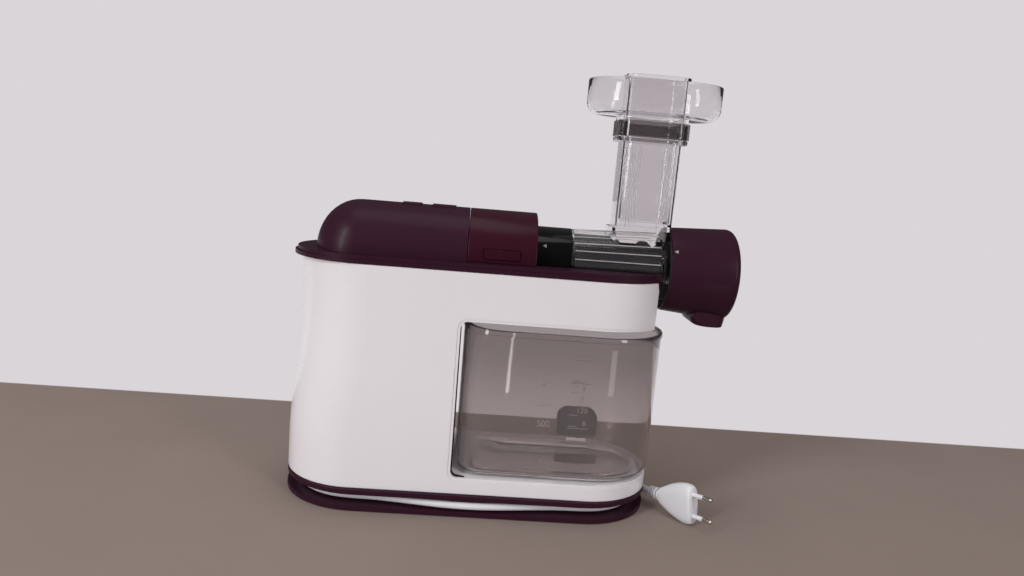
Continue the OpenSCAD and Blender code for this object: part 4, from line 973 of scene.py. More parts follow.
class Grow(Wiring):
    """Builds a Geometry Nodes tree with named inputs and turns it into a plain mesh."""

    def __init__(self, name: str) -> None:
        """Start a tree with a geometry input and output."""
        super().__init__(bpy.data.node_groups.new(name, "GeometryNodeTree"))
        for way in ("INPUT", "OUTPUT"):
            self.tree.interface.new_socket("Geometry", in_out=way, socket_type="NodeSocketGeometry")
        self.start, self.end = self.node("NodeGroupInput"), self.node("NodeGroupOutput")
        self.values: dict[str, float | int] = {}

    def size(self, name: str, value: float | int) -> bpy.types.NodeSocket:
        """Add a named input with the value that this object uses, and return its socket."""
        kind = "NodeSocketInt" if isinstance(value, int) else "NodeSocketFloat"
        made = self.tree.interface.new_socket(name, in_out="INPUT", socket_type=kind)
        self.values[made.identifier] = value
        return self.start.outputs[name]

    def ratio(self, reach: object, count: bpy.types.NodeSocket) -> bpy.types.NodeSocket:
        """Return a reach divided by the gaps between a number of copies."""
        return self.math("DIVIDE", reach, self.math("SUBTRACT", count, 1.0))

    def copies(self, count: bpy.types.NodeSocket, step: dict[int, object], shape: bpy.types.NodeSocket,
               **turned: object) -> bpy.types.NodeSocket:
        """Set copies of a shape along a line.

        Args:
            count: The number of copies.
            step: What moves each copy on from the one before, by axis.
            shape: The shape.
            **turned: The copies' Rotation and Scale.

        Returns:
            The instances.
        """
        offset = self.node("ShaderNodeCombineXYZ", {}, step)
        line = self.node("GeometryNodeMeshLine", {"mode": "OFFSET"},
                         {"Count": count, "Offset": offset.outputs[0]})
        placed = self.node("GeometryNodeInstanceOnPoints", {},
                           {"Points": line.outputs[0], "Instance": shape, **turned})
        return placed.outputs[0]

    def mesh(self, result: bpy.types.NodeSocket, material: bpy.types.Material) -> bpy.types.Object:
        """Realize the result, give it a material and return it as a plain mesh object."""
        real = self.node("GeometryNodeRealizeInstances", {}, {0: result})
        dressed = self.node("GeometryNodeSetMaterial", {},
                            {"Geometry": real.outputs[0], "Material": material})
        self.tree.links.new(dressed.outputs[0], self.end.inputs[0])
        host = mesh_object(self.tree.name, [vec(0, 0, 0)], [])
        modifier = host.modifiers.new("grow", "NODES")
        modifier.node_group = self.tree
        for identifier, value in self.values.items():
            modifier[identifier] = value
        return applied(host)


@dataclass(frozen=True)
class RibRow:
    """A row of tapering rings along -X.

    Attributes:
        name: The mesh's name.
        count: Number of rings.
        span: Length of the row.
        first: Radius of the first ring.
        last: Radius of the last ring.
        width: Width of a ring along X.
    """

    name: str
    count: int
    span: float
    first: float
    last: float
    width: float

    def build(self, material: bpy.types.Material) -> bpy.types.Object:
        """Return the rings as one mesh of a material."""
        grow = Grow(self.name)
        count = grow.size("Count", self.count)
        span = grow.size("Span", self.span)
        first = grow.size("First radius", self.first)
        last = grow.size("Last radius", self.last)
        width = grow.size("Width", self.width)
        step = grow.ratio(grow.math("MULTIPLY", span, -1.0), count)
        share = grow.ratio(grow.node("GeometryNodeInputIndex").outputs[0], count)
        radius = grow.math("ADD", first, grow.math("MULTIPLY", grow.math("SUBTRACT", last, first), share))
        ring = grow.node("GeometryNodeMeshCylinder", {}, {"Vertices": 32, "Radius": 1.0, "Depth": 1.0})
        scale = grow.node("ShaderNodeCombineXYZ", {}, {0: radius, 1: radius, 2: width})
        placed = grow.copies(count, {0: step}, ring.outputs["Mesh"], Rotation=(0.0, math.pi / 2, 0.0),
                             Scale=scale.outputs[0])
        return grow.mesh(placed, material)


@dataclass(frozen=True)
class ScaleRow:
    """A column of fine raised lines that rises from the origin.

    Attributes:
        name: The mesh's name.
        count: Number of lines.
        x: Where the lines' middle stands on the jug.
        low: Height of the lowest line.
        high: Height of the highest line.
        length: Length of a line.
    """

    name: str
    count: int
    x: float
    low: float
    high: float
    length: float
    deep: float = 0.2 * MM
    thick: float = 0.45 * MM

    def build(self, material: bpy.types.Material) -> bpy.types.Object:
        """Return the lines as one mesh of a material."""
        grow = Grow(self.name)
        lines = grow.size("Lines", self.count)
        rise = grow.size("Height", (self.high - self.low) * MM)
        reach = grow.size("Length", self.length * MM)
        size = grow.node("ShaderNodeCombineXYZ", {}, {0: reach, 1: self.deep, 2: self.thick})
        bar = grow.node("GeometryNodeMeshCube", {}, {"Size": size.outputs[0]})
        return grow.mesh(grow.copies(lines, {2: grow.ratio(rise, lines)}, bar.outputs["Mesh"]), material)


@dataclass(frozen=True)
class BarRow:
    """A row of thin upright bars along X, centred in height on the row's left end.

    Attributes:
        name: The mesh's name.
        count: Number of bars.
        span: From the first bar to the last.
        height: A bar's height.
        radius: A bar's radius.
    """

    name: str
    count: int
    span: float
    height: float
    radius: float

    def build(self, material: bpy.types.Material) -> bpy.types.Object:
        """Return the bars as one mesh of a material."""
        grow = Grow(self.name)
        bars = grow.size("Bars", self.count)
        reach = grow.size("Span", self.span)
        tall = grow.size("Height", self.height)
        thick = grow.size("Bar radius", self.radius)
        bar = grow.node("GeometryNodeMeshCylinder", {}, {"Vertices": 10, "Radius": thick, "Depth": tall})
        return grow.mesh(grow.copies(bars, {0: grow.ratio(reach, bars)}, bar.outputs["Mesh"]), material)


@dataclass(frozen=True)
class BarFan:
    """A fan of round bars that lie along a cone about the X axis.

    Attributes:
        name: The mesh's name.
        count: Number of bars.
        turns: First and last bar's place round the axis, in degrees from +Y.
        start: The cone's x and radius at its left end.
        end: The cone's x and radius at its right end.
        radius: A bar's radius.
    """

    name: str
    count: int
    turns: tuple[float, float]
    start: tuple[float, float]
    end: tuple[float, float]
    radius: float

    def build(self, material: bpy.types.Material) -> bpy.types.Object:
        """Return the bars as one mesh of a material."""
        run, rise = self.end[0] - self.start[0], self.end[1] - self.start[1]
        grow = Grow(self.name)
        bars = grow.size("Bars", self.count)
        first = grow.size("First turn", math.radians(self.turns[0]))
        last = grow.size("Last turn", math.radians(self.turns[1]))
        thick = grow.size("Bar radius", self.radius)
        long = grow.size("Bar length", math.hypot(run, rise))
        bar = grow.node("GeometryNodeMeshCylinder", {}, {"Vertices": 10, "Radius": thick, "Depth": long})
        laid = grow.node("GeometryNodeTransform", {}, {
            "Geometry": bar.outputs["Mesh"], "Rotation": (0.0, math.pi / 2, math.atan2(rise, run)),
            "Translation": (self.start[0] + run / 2, self.start[1] + rise / 2, 0.0)})
        step = grow.ratio(grow.math("SUBTRACT", last, first), bars)
        index = grow.node("GeometryNodeInputIndex").outputs[0]
        turn = grow.node("ShaderNodeCombineXYZ", {}, {0: grow.math("ADD", first,
                                                                   grow.math("MULTIPLY", step, index))})
        placed = grow.copies(bars, {}, laid.outputs[0], Rotation=turn.outputs[0])
        return grow.mesh(placed, material)


@dataclass
class WhiteBody:
    """The white outer body with its bay opening, and a dark strip of painted shade at the bay's left edge."""

    kit: Kit
    half_len: float = 159 * MM
    half_depth: float = 56.5 * MM
    end_len: float = 60 * MM
    low: float = 18 * MM
    high: float = 204.5 * MM
    wall: float = 3 * MM
    waist_in: float = 7.8 * MM
    waist_low: float = 50 * MM
    bay_x: float = -15.5 * MM
    bay_low: float = 32 * MM
    bay_high: float = 164 * MM
    bay_corner: float = 6 * MM
    liner_wall: float = 2.4 * MM
    right_x: float = 146.5 * MM
    edge_y: float = -52 * MM
    trough_radius: float = 36.2 * MM
    axis_z: float = 211 * MM
    levels: int = 30
    rim_edge: float = 1.2 * MM
    rim_steps: int = 4
    edge: float = 0.9 * MM
    far: float = 0.3
    # Sizes of the dark strip of painted shade at the bay's left edge.
    shadow_line_top: float = 3 * MM
    shadow_line_half: float = 0.8 * MM
    shadow_line_gain: float = 0.5 * MM
    shadow_line_deep: float = 1.2 * MM
    shadow_line_tail: float = 6 * MM
    shadow_line_steps: int = 12

    def waist(self, z: float) -> float:
        """Return how far the left end draws in at a height."""
        t = min(1.0, max(0.0, (z - self.waist_low) / (self.bay_high - self.waist_low)))
        u = max(0.0, (z - self.bay_high) / (self.high - self.bay_high))
        return self.waist_in * (t * t * (3 - 2 * t) - u * u / 4)

    def skin(self, name: str, inset: float, low: float, high: float, edge: float = 0.0) -> bpy.types.Object:
        """Loft the body's skin, drawn in by an inset, with its rims rounded by an edge."""
        turns = [math.pi / 2 * k / self.rim_steps for k in range(self.rim_steps)] if edge else []
        foot = [(low + edge * (1 - math.cos(t)), edge * (1 - math.sin(t))) for t in turns]
        step = (high - low - 2 * edge) / self.levels
        wall = [(low + edge + step * k, 0.0) for k in range(self.levels + 1)]
        rings = []
        for z, draw in [*foot, *wall, *((high - z + low, draw) for z, draw in reversed(foot))]:
            waist, grow = self.waist(z), inset + draw
            rings.append(level(oval(waist + grow - self.half_len, self.half_len - grow, self.end_len - grow,
                                    self.end_len - grow, self.half_depth - grow - waist / 4), z))
        return loft(name, rings)

    def bay(self, name: str, grow: float, reach: float) -> bpy.types.Object:
        """Make the bay's space: a rounded slot through the machine, open to the right."""
        width = 2 * self.half_len
        outline = soft_rect(width, self.bay_high - self.bay_low + 2 * grow, self.bay_corner + grow, 6)
        left, middle = self.bay_x - grow, (self.bay_low + self.bay_high) / 2
        rings = [[vec(left + width / 2 + x, y, middle + z) for x, z in outline] for y in (reach, -reach)]
        return loft(name, rings)

    def shell(self) -> None:
        """Make the white shell."""
        body = self.skin("white_shell", 0.0, self.low, self.high, self.rim_edge)
        inner = self.skin("inner", self.wall, self.low - MM, self.high + MM)
        far = self.far
        cut(inner, slab("right", vec(self.right_x - self.wall, -far, self.bay_low), vec(far, far, far)))
        cut(body, inner)
        cut(body, self.bay("bay", self.liner_wall, far))
        cut(body, slab("end", vec(self.right_x, -far, self.bay_high), vec(far, far, far)))
        cut(body, loft("trough", [round_ring(x, self.trough_radius, (0.0, self.axis_z), 64)
                                  for x in (self.right_x - 2 * self.wall, far)]))
        rounded(body, self.edge, 55)
        smooth(body, 35)
        self.kit.mount(evened(body), "machine", Finish.WHITE, "body_shell")

    def bay_shadow_line(self) -> None:
        """Lay a dark strip of painted shade at the bay's left edge, down its side and round its lower corner.
        """
        x, low, corner = self.bay_x, self.bay_low, self.bay_corner
        top, thin, wide = self.bay_high - self.shadow_line_top, self.shadow_line_half, self.shadow_line_half + self.shadow_line_gain
        n = self.shadow_line_steps
        path = [(x, top + (low + corner - top) * k / n, thin + self.shadow_line_gain * k / n) for k in range(n)]
        path += [(x + across, low + up, wide + self.shadow_line_gain * (1 - up / corner)) for across, up
                 in reversed(quarter(8, corner))]
        path += [(x + corner + self.shadow_line_tail, low, self.shadow_line_gain)]
        rings = []
        for i, (across, up, half) in enumerate(path):
            before, after = path[max(0, i - 1)], path[min(len(path) - 1, i + 1)]
            along = Vector((after[0] - before[0], after[1] - before[1])).normalized()
            turns = (2 * math.pi * k / n for k in range(n))
            section = [(half * math.cos(a), self.edge_y + self.shadow_line_deep * math.sin(a)) for a in turns]
            rings.append([vec(across - along.y * out, y, up + along.x * out) for out, y in section])
        # Painted shade: the dark strip stands where the bay's edge lies in shadow, and wears the plum finish.
        lip = loft("bay_shadow_line", rings)
        self.kit.mount(lip, "machine", Finish.PLUM, sharp=50)

    def build(self) -> None:
        """Make the body's pieces."""
        self.shell()
        self.bay_shadow_line()


@dataclass
class JuiceJug:
    """The smoked jug with its rolled floor, rim band, moulded scale and the rest of its stopper."""

    kit: Kit
    x0: float = -13.6 * MM
    x1: float = 161 * MM
    left_len: float = 37.6 * MM
    rim_square: float = 2.4
    foot_square: float = 4.2
    right_len: float = 58 * MM
    half_depth: float = 53.5 * MM
    low: float = 32.2 * MM
    high: float = 158.2 * MM
    wall: float = 2.2 * MM
    band_out: float = 0.9 * MM
    band_high: float = 4 * MM
    floor: float = 3 * MM
    roll: float = 8 * MM
    bead_in: float = 15 * MM
    bead_shape: tuple[tuple[float, float], ...] = ((0.0, 0.0), (0.6, 0.5), (1.6, 0.5), (2.2, 0.0))
    lip: float = 0.5 * MM
    wall_steps: int = 8
    rest_low: tuple[float, float] = (91.5 * MM, 38.6 * MM)
    rest_high: tuple[float, float] = (110.5 * MM, 47.6 * MM)
    rest_top: float = 40.8 * MM
    stopper_x: tuple[float, float] = (82 * MM, 120 * MM)
    stopper_high: float = 27 * MM
    stopper_slant: float = 6 * MM
    stopper_dome: float = 0.6 * MM
    stopper_corner: float = 3.5 * MM
    stopper_round: float = 1.2 * MM
    mark_in: float = 0.12 * MM
    mark_deep: float = 0.1 * MM
    marks: tuple[tuple[str, float, float, float], ...] = (
        ("500", 58.1, 79.9, 7.2), ("120", 89.4, 93.2, 6.4), ("6", 92.2, 82.5, 6.4),
        ("5", 88.6, 102.3, 6.0), ("8", 89.3, 111.8, 6.0), ("0", 58.6, 47.4, 5.0))
    rows: tuple[ScaleRow, ...] = (
        ScaleRow("long_ticks", 4, 86.8, 79.7, 137.9, 17.0),
        ScaleRow("short_ticks", 6, 82.4, 71.7, 120.2, 7.5),
        ScaleRow("side_ticks", 3, 58.3, 79.9, 115.9, 11.0))

    def ring(self, inset: float, z: float) -> Ring:
        """Return the jug's outline, drawn in by an inset; its left end is squarer towards the foot."""
        share = min(1.0, max(0.0, (self.high - z) / (self.high - self.low)))
        power = self.rim_square + (self.foot_square - self.rim_square) * math.sqrt(share)
        outline = oval(self.x0 + inset, self.x1 - inset, self.left_len - inset, self.right_len - inset,
                       self.half_depth - inset, 36, 8)
        turn, half = self.x0 + self.left_len, self.half_depth - inset
        points = []
        for x, y in outline:
            if x < turn:
                swing = math.atan2(abs(y) / half, (turn - x) / (self.left_len - inset))
                x = turn - (self.left_len - inset) * math.cos(swing) ** (2 / power)
                y = math.copysign(half * math.sin(swing) ** (2 / power), y)
            points.append((x, y))
        return level(points, z)

    def shell(self) -> None:
        """Mould the jug as one closed wall."""
        skin, inner = self.band_out, self.band_out + self.wall
        low, top, lip, n = self.low, self.high, self.lip, self.wall_steps
        rings = [self.ring(skin + side, low + up) for side, up in quarter(6, self.roll)]
        foot, band = low + self.roll, top - self.band_high
        rings += [self.ring(skin, foot + (band - lip - foot) * k / n) for k in range(1, n + 1)]
        rings += [self.ring(inset, z) for inset, z in (
            (0.0, band), (0.0, top - lip), (lip, top), (inner - lip, top), (inner, top - lip))]
        rings += [self.ring(inner, top - lip - (top - lip - foot) * k / n) for k in range(1, n)]
        deck, bead = low + self.floor, self.bead_in
        rings += [self.ring(inner + side, deck + up)
                  for side, up in reversed(quarter(6, self.roll - self.wall))]
        rings += [self.ring(bead + inward * MM, deck + up * MM) for inward, up in self.bead_shape]
        made = loft("jug_shell", rings)
        cut(made, slab("rest", vec(*self.rest_low, low + MM), vec(*self.rest_high, self.rest_top)), "UNION")
        self.kit.mount(made, "jug", Finish.SMOKE, "juice_jug", sharp=45)

    def front(self, x: float, z: float) -> Vector:
        """Return a point just off the jug's inner front wall."""
        return vec(x, -(self.half_depth - self.band_out - self.wall - self.mark_in), z)

    def figures(self) -> None:
        """Mould the scale's plain numbers inside the front wall."""
        pieces = []
        for figure, x, z, size in self.marks:
            data = bpy.data.curves.new("scale_figure", "FONT")
            data.body = figure
            data.size = size * MM
            data.extrude = self.mark_deep
            data.align_x = "CENTER"
            made = linked("jug_figures", data)
            plain = linked("jug_figures", bpy.data.meshes.new_from_object(made))
            bpy.data.objects.remove(made)
            plain.data.transform(Matrix.Rotation(math.pi / 2, 4, "X"))
            shift(plain, *self.front(x * MM, z * MM))
            pieces.append(plain)
        self.kit.mount(joined(pieces), "jug", Finish.MARK)

    def ticks(self) -> None:
        """Set the scale's lines along the front wall."""
        pieces = []
        for row in self.rows:
            pieces.append(self.kit.grown(row, Finish.MARK))
            shift(pieces[-1], *self.front(row.x * MM, row.low * MM))
        self.kit.mount(joined(pieces), "jug", Finish.MARK)

    def stopper(self) -> None:
        """Mould the stopper that stands on its rest: square shoulders under a nearly flat top."""
        x0, x1 = self.stopper_x
        low, high = self.rest_top, self.rest_top + self.stopper_high
        slant, dome = self.stopper_slant, self.stopper_dome
        corners = [(x0, low), (x1, low), (x1, high - slant), (x1 - slant, high - dome),
                   (x1 - 2 * slant, high), (x0 + 2 * slant, high), (x0 + slant, high - dome),
                   (x0, high - slant)]
        made = loft("stopper_moulding", [[vec(x, y, z) for x, z in eased(corners, self.stopper_corner)]
                                         for y in (self.rest_low[1], self.rest_high[1])])
        rounded(made, self.stopper_round, 50)
        self.kit.mount(made, "jug", Finish.STOPPER, "jug_stopper", sharp=40)

    def build(self) -> None:
        """Make the jug's pieces."""
        self.shell()
        self.stopper()
        self.figures()
        self.ticks()


@dataclass
class FeedParts:
    """The clear feed tray with its collar, and the hollow pusher that stands in the chute."""

    kit: Kit
    x: float = 132 * MM
    chute_w: float = 49 * MM
    chute_d: float = 38 * MM
    corner: float = 9 * MM
    wall: float = 2.2 * MM
    chute_top: float = 318 * MM
    collar_w: float = 57 * MM
    collar_d: float = 46 * MM
    tray_low: float = 339 * MM
    tray_high: float = 367 * MM
    tray_w: float = 112 * MM
    tray_d: float = 76 * MM
    tray_end: float = 37 * MM
    tray_roll: float = 10 * MM
    gap: float = 0.3 * MM
    edge: float = 0.5 * MM
    foot_out: float = 1.8 * MM
    foot_high: float = 3 * MM
    pusher_z: tuple[float, float, float] = (251.9 * MM, 321.4 * MM, 372 * MM)
    pusher_wall: float = 1.8 * MM
    pusher_edge: float = 0.6 * MM
    pusher_step: float = 2.7 * MM
    pusher_rim: tuple[float, float] = (54.4 * MM, 43.4 * MM)
    pusher_rim_high: float = 3 * MM
    line_count: int = 4
    line_span: float = 6.6 * MM
    line_x: float = 13.2 * MM
    line_low: float = 247 * MM
    line_top: float = 316 * MM
    line_in: float = 2.35 * MM
    line_r: float = 0.22 * MM

    def ring(self, width: float, depth: float, radius: float, z: float) -> Ring:
        """Return a rounded rectangle about the chute at a height."""
        return [vec(self.x + x, y, z) for x, y in soft_rect(width, depth, radius, 12)]

    def shrunk(self, size: tuple[float, float, float], inset: float, corner_inset: float, z: float) -> Ring:
        """Return a rounded rectangle with its sides and its corners drawn in."""
        return self.ring(size[0] - 2 * inset, size[1] - 2 * inset, size[2] - corner_inset, z)

    def dish(self, inset: float, z: float) -> Ring:
        """Return the tray's outline, drawn in by an inset."""
        return self.ring(self.tray_w - 2 * inset, self.tray_d - 2 * inset, self.tray_end - inset, z)

    def tray(self) -> None:
        """Mould the tray and its collar as one closed wall."""
        w, edge, out = self.wall, self.edge, self.foot_out
        bore_w, bore_d = self.chute_w + 2 * self.gap, self.chute_d + 2 * self.gap
        bore_r, collar_r = self.corner + self.gap, self.corner + 2 * w
        wide, deep, foot = self.collar_w, self.collar_d, self.chute_top
        sizes = [(bore_w, bore_d, bore_r, foot + edge),
                 (bore_w + 2 * edge, bore_d + 2 * edge, bore_r + edge, foot),
                 (wide + out - 2 * edge, deep + out - 2 * edge, collar_r, foot),
                 (wide + out, deep + out, collar_r + edge, foot + edge),
                 (wide + out, deep + out, collar_r + edge, foot + self.foot_high),
                 (wide, deep, collar_r, foot + self.foot_high + 0.6 * MM),
                 (wide, deep, collar_r, self.tray_low - edge),
                 (wide + 2 * edge, deep + 2 * edge, collar_r + edge, self.tray_low)]
        rings = [self.ring(*size) for size in sizes]
        rings += [self.dish(side, self.tray_low + up) for side, up in quarter(7, self.tray_roll)]
        rings += [self.dish(0.0, self.tray_high - edge), self.dish(edge, self.tray_high),
                  self.dish(w - edge, self.tray_high), self.dish(w, self.tray_high - edge)]
        rings += [self.dish(w + side, self.tray_low + w + up)
                  for side, up in reversed(quarter(7, self.tray_roll - w))]
        rings += [self.ring(bore_w + 2 * edge, bore_d + 2 * edge, bore_r + edge, self.tray_low + w),
                  self.ring(bore_w, bore_d, bore_r, self.tray_low + w - edge)]
        made = loft("tray_moulding", rings, closed=True)
        self.kit.mount(made, "tray", Finish.CLEAR, "feed_tray", sharp=50)

    def pusher(self) -> None:
        """Mould the hollow pusher with its rolled rim."""
        low, step, high = self.pusher_z
        wall, edge, rim, fine = self.pusher_wall, self.pusher_edge, self.pusher_rim_high, self.corner + 3 * MM
        rim_w, rim_d = self.pusher_rim
        wide = (self.chute_w, self.chute_d, self.corner)
        slim = tuple(size - share * self.pusher_step for size, share in zip(wide, (2, 2, 1)))
        rings = [self.shrunk(slim, edge, edge, low), self.shrunk(slim, 0.0, 0.0, low + edge),
                 self.shrunk(slim, 0.0, 0.0, step - edge), self.shrunk(wide, edge / 2, 0.0, step),
                 self.shrunk(wide, 0.0, 0.0, step + edge), self.shrunk(wide, 0.0, 0.0, high - rim - edge),
                 self.ring(rim_w - edge, rim_d - edge, fine, high - rim),
                 self.ring(rim_w, rim_d, fine, high - rim + edge), self.ring(rim_w, rim_d, fine, high - edge),
                 self.ring(rim_w - edge, rim_d - edge, fine, high),
                 self.shrunk(wide, wall - edge / 2, wall, high), self.shrunk(wide, wall, wall, high - edge),
                 self.shrunk(wide, wall, wall, step + wall + edge),
                 self.shrunk(wide, wall + edge / 2, wall, step + wall),
                 self.shrunk(slim, wall, wall, step + wall - edge),
                 self.shrunk(slim, wall, wall, low + wall + edge),
                 self.shrunk(slim, wall + edge / 2, wall, low + wall)]
        made = loft("pusher_moulding", rings)
        self.kit.mount(made, "pusher", Finish.CLEAR, "pusher", sharp=50)

    def lines(self) -> None:
        """Set the fine upright lines that the chute's front corners show."""
        height = self.line_top - self.line_low
        row = BarRow("chute_lines", self.line_count, self.line_span, height, self.line_r)
        pieces = []
        for side in (-1, 1):
            pieces.append(self.kit.grown(row, Finish.FROST))
            shift(pieces[-1], self.x + side * self.line_x - self.line_span / 2,
                  -self.chute_d / 2 + self.line_in, (self.line_low + self.line_top) / 2)
        whole = joined(pieces)
        self.kit.mount(whole, "drum", Finish.FROST, sharp=50)

    def build(self) -> None:
        """Make the tray, the pusher and the chute's lines."""
        self.tray()
        self.pusher()
        self.lines()


@dataclass
class DrumLine:
    """The round pieces on the drum's axis: lock cover, coupling, barrel ribs, end cap and their marks."""

    kit: Kit
    axis_z: float = 211 * MM
    steps: int = 96
    cover_x: tuple[float, float] = (-14.6 * MM, 42 * MM)
    cover_r: tuple[float, float] = (38.2 * MM, 40.8 * MM)
    leaf_x: tuple[float, float] = (-6.2 * MM, 33.2 * MM)
    knuckle: tuple[float, float, float] = (44.2 * MM, 214.3 * MM, 3 * MM)
    cover_gap: float = 0.4 * MM
    cover_round: float = 0.9 * MM
    leaf_half: float = 1.3 * MM
    pin_r: float = 1.55 * MM
    latch_low: Vector = field(default_factory=lambda: vec(-1.9, -60, 213.6) * MM)
    latch_high: Vector = field(default_factory=lambda: vec(28.4, 0, 222.4) * MM)
    coupling_x: tuple[float, float] = (12 * MM, 72.5 * MM)
    coupling_r: float = 29.8 * MM
    coupling_round: float = 0.7 * MM
    coupling_steps: tuple[float, float] = (18.8 * MM, 56 * MM)
    coupling_bores: tuple[float, float, float] = (20.3 * MM, 22.8 * MM, 25.05 * MM)
    barrel_x: tuple[float, float] = (74.5 * MM, 146.5 * MM)
    barrel_r: tuple[float, float] = (29.4 * MM, 31.8 * MM)
    rib_turns: tuple[float, float] = (24.0, 166.0)
    rib_count: int = 11
    rib_r: float = 0.35 * MM
    cap_x: tuple[float, float] = (155 * MM, 213.4 * MM)
    cap_r: tuple[float, float] = (36 * MM, 39.6 * MM)
    cap_lift: float = 1.4 * MM
    cap_wall: float = 2.6 * MM
    cap_bore: float = 31.5 * MM
    lug_x: tuple[float, float] = (159.7 * MM, 166.8 * MM)
    lug_r: float = 32.9 * MM
    spout_x: tuple[float, float] = (181 * MM, 211.8 * MM)
    cap_ease: float = 5.5 * MM
    cap_sink: float = 0.8
    cap_round: float = 0.8 * MM
    cap_dome: float = 0.8 * MM
    cap_edge: float = 0.6 * MM
    cap_face: float = 5 * MM
    spout_half: float = 22 * MM
    spout_from: float = 26 * MM
    spout_wall: float = 14 * MM
    spout_ease: float = 6 * MM
    spout_corner: float = 9 * MM
    spout_slopes: tuple[float, float] = (1.2 * MM, 1.4 * MM)
    spout_drop: float = 43.4 * MM
    mark_size: float = 3.2 * MM
    coupling_mark: tuple[float, float] = (48.6 * MM, 148.0)
    cap_mark: tuple[float, float, float] = (157.8 * MM, 149.0, 36.25 * MM)
    cap_mark_lie: tuple[float, float] = (1.3 * MM, 0.075)
    mark_depths: tuple[float, float] = (0.02 * MM, 0.16 * MM)

    def circle(self, x: float, radius: float, lift: float = 0.0) -> Ring:
        """Return a circle about the drum's axis, seen along X."""
        return round_ring(x, radius, (0.0, self.axis_z + lift), self.steps)

    def swept(self, name: str, outline: Outline, start: float, end: float) -> bpy.types.Object:
        """Sweep an outline of x and radius about the axis between two angles in degrees."""
        whole = end - start >= 360
        count = self.steps if whole else self.steps // 2 + 1
        rings = []
        for i in range(count):
            t = math.radians(start + (end - start) * i / (count if whole else count - 1))
            rings.append([vec(x, r * math.cos(t), self.axis_z + r * math.sin(t)) for x, r in outline])
        return loft(name, rings, closed=whole)

    def lock_cover(self) -> None:
        """Sweep the burgundy cover, with its latch window and its hinge leaf."""
        (x0, x1), (inner, outer) = self.cover_x, self.cover_r
        lean = math.degrees(math.asin(self.cover_gap / outer))
        outline = eased([(x0, inner), (x1, inner), (x1, outer), (x0, outer)], self.cover_round)
        made = self.swept("lock_cover_moulding", outline, lean, 180 - lean)
        cut(made, slab("window", self.latch_low, self.latch_high))
        back, height, radius = self.knuckle
        leaf0, leaf1 = self.leaf_x
        half = self.leaf_half
        knuckle = loft("knuckle", [round_ring(x, radius, (back, height), 32) for x in (leaf0, leaf1)])
        cut(made, slab("leaf", vec(leaf0, inner, height - half), vec(leaf1, back, height + half)), "UNION")
        cut(made, knuckle, "UNION")
        cut(made, loft("pin", [round_ring(x, self.pin_r, (back, height), 24) for x in (-0.1, 0.1)]))
        self.kit.mount(made, "lock", Finish.BURGUNDY, "lock_cover", sharp=35)

    def coupling(self) -> None:
        """Sweep the black coupling over its stepped bore."""
        (x0, x1), (step0, step1) = self.coupling_x, self.coupling_steps
        (bore0, bore1, bore2), r = self.coupling_bores, self.coupling_r
        corners = [(x0, bore0), (step0, bore0), (step0, bore1), (step1, bore1), (step1, bore2), (x1, bore2),
                   (x1, r), (x0, r)]
        made = self.swept("coupling_moulding", eased(corners, self.coupling_round), 0, 360)
        self.kit.mount(made, "drum", Finish.BLACK, "drum_coupling", sharp=35)

    def ribs(self) -> None:
        """Lay fine raised lines along the clear barrel."""
        (x0, x1), (r0, r1) = self.barrel_x, self.barrel_r
        fan = BarFan("barrel_ribs", self.rib_count, self.rib_turns, (x0, r0), (x1, r1), self.rib_r)
        made = self.kit.grown(fan, Finish.FROST)
        shift(made, 0, 0, self.axis_z)
        self.kit.mount(made, "drum", Finish.FROST, sharp=50)

    def spout(self, name: str, inset: float) -> bpy.types.Object:
        """Make the pulp spout's block, drawn in by an inset and cut through below."""
        x0, x1 = self.spout_x
        ease, low, slope, slant = self.spout_ease, self.axis_z - self.spout_drop, *self.spout_slopes
        heights = [(self.axis_z - self.spout_from, x0, x1), (low + self.spout_wall, x0, x1)]
        heights += [(low + up, x0 + ease - down, x1 - slope - slant * k / 5) for k, (up, down)
                    in enumerate(self.foot_round(ease))]
        if inset:
            heights.append((low - MM, x0 + ease, x1 - slope - slant))
        rings = []
        for z, left, right in heights:
            width, middle = right - left - 2 * inset, (left + right) / 2
            corner = min(self.spout_corner - inset, width / 2 - 0.3 * MM)
            outline = soft_rect(width, 2 * (self.spout_half - inset), corner, 8)
            rings.append([vec(middle + x, y, z) for x, y in outline])
        return loft(name, rings)

    @staticmethod
    def foot_round(ease: float) -> Outline:
        """Return the heights over the spout's foot and what is left of its rounding, from the top down."""
        turns = (math.pi / 2 * k / 5 for k in range(6))
        return [(ease * (1 - math.sin(t)), ease * math.cos(t)) for t in turns]

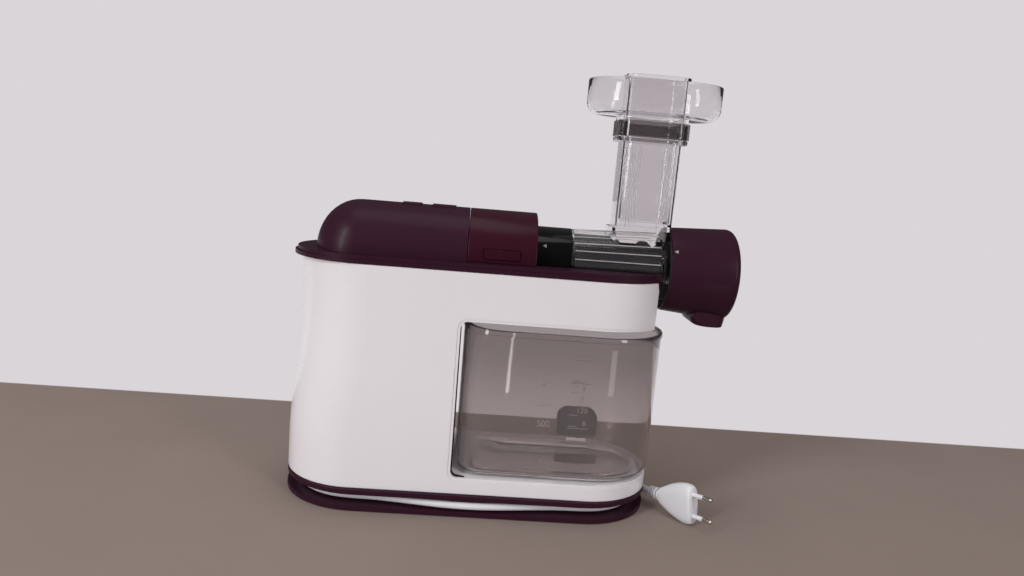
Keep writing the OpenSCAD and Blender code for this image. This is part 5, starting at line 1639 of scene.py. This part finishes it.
    def end_cap(self) -> None:
        """Mould the cap: round shell with an eased face, hollow, with its pulp spout."""
        (x0, x1), (r0, r1) = self.cap_x, self.cap_r
        ease, dome, edge = self.cap_ease, self.cap_dome, self.cap_edge
        sink = ease * self.cap_sink
        turn_x, face = x1 - dome - ease, r1 - sink
        outer = [self.circle(x0, r0 - edge, self.cap_lift), self.circle(x0 + edge, r0, self.cap_lift)]
        outer += [self.circle(x0 + (turn_x - x0) * s, r0 + (r1 - r0) * s, self.cap_lift * (1 - s))
                  for s in (k / 8 for k in range(1, 9))]
        outer += [self.circle(turn_x + ease * math.sin(t), r1 - sink * (1 - math.cos(t)))
                  for t in (math.pi / 2 * k / 8 for k in range(1, 9))]
        outer += [self.circle(x1 - dome + dome * math.sin(math.pi / 2 * k / 6),
                              face * math.cos(math.pi / 2 * k / 6.2)) for k in range(1, 7)]
        made = loft("cap_moulding", outer)
        cut(made, self.spout("spout", 0.0), "UNION")
        slim, (lug_x0, lug_x1) = self.cap_bore - self.cap_wall, self.lug_x
        bore = ((x0 - MM, self.cap_bore), (lug_x0, self.cap_bore), (lug_x0, self.lug_r), (lug_x1, self.lug_r),
                (lug_x1, slim), (x1 - self.cap_face, slim))
        cut(made, loft("bore", [self.circle(x, r) for x, r in bore]))
        cut(made, self.spout("mouth", self.cap_wall))
        rounded(made, self.cap_round, 38)
        self.kit.mount(made, "cap", Finish.PLUM, "end_cap", sharp=36)

    def arrow(self, name: str, x: float, turn: float, radius: float, body: str, lift: float = 0.0,
              slope: float = 0.0) -> None:
        """Print a small triangle that points left, just off a round surface.

        Args:
            name: The mark's name.
            x: Its middle along the axis.
            turn: Its place round the axis in degrees.
            radius: The surface's radius there.
            body: The body that carries it.
            lift: How far the surface's centre stands over the axis.
            slope: How fast the surface's radius grows along the axis.
        """
        t, size = math.radians(turn), self.mark_size
        points = []
        for depth in self.mark_depths:
            for along, across in ((-0.5, 0.0), (0.5, 0.5), (0.5, -0.5)):
                r = radius + depth + slope * along * size
                a = t + across * size / r
                points.append(vec(x + along * size, r * math.cos(a), self.axis_z + lift + r * math.sin(a)))
        made = mesh_object(name, points, [(0, 1, 2), (5, 4, 3), (0, 3, 4, 1), (1, 4, 5, 2), (2, 5, 3, 0)])
        outwards(made)
        self.kit.mount(made, body, Finish.ARROW)

    def build(self) -> None:
        """Make the round pieces and the marks."""
        self.lock_cover()
        self.coupling()
        self.ribs()
        self.end_cap()
        self.arrow("coupling_mark", *self.coupling_mark, self.coupling_r, "drum")
        self.arrow("cap_mark", *self.cap_mark, "cap", *self.cap_mark_lie)


@dataclass
class EasedShells:
    """Frame nodes whose moulded edges are eased on a merged copy.

    Attributes:
        kit: The frame and the materials.
        edges: Width of the rounding of each node.
    """

    kit: Kit
    edges: dict[str, float] = field(default_factory=lambda: {
        "top_cover": 0.7 * MM, "drum_cradle": 0.4 * MM, "latch_button": 0.4 * MM, "power_button": 0.5 * MM,
        "reverse_button": 0.5 * MM, "base_plate": 0.8 * MM, "cord_spool": 0.8 * MM, "bay_liner": 0.3 * MM,
        "drum_barrel": 0.4 * MM, "collar_ring": 0.3 * MM, "drive_housing": 0.6 * MM,
    })

    def build(self) -> None:
        """Make every eased copy."""
        bodies = self.kit.frame["record"]["behaviour"]["bodies"]
        body_of = {node: body for body, nodes in bodies.items() for node in nodes}
        for name, width in self.edges.items():
            made = rounded(merged_copy(self.kit.cad(name), name + "_moulding"), width, 35)
            smooth(made, 34)
            finish = Finish.BAND if name == "collar_ring" else self.kit.finish_of(name)
            self.kit.mount(evened(made), body_of[name], finish, name)


def main() -> None:
    """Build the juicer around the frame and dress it."""
    logging.basicConfig(level=logging.INFO, format="%(name)s: %(message)s")
    bpy.context.scene.view_settings.view_transform = "Standard"
    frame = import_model()
    kit = Kit(frame, Paints())
    MainsLead(kit).build()
    Studio().build(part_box("rubber_feet")[0].z)
    for name, node in frame["nodes"].items():
        kit.wear(node, kit.finish_of(name))
    EasedShells(kit).build()
    WhiteBody(kit).build()
    JuiceJug(kit).build()
    FeedParts(kit).build()
    DrumLine(kit).build()


if __name__ == "__main__":
    main()
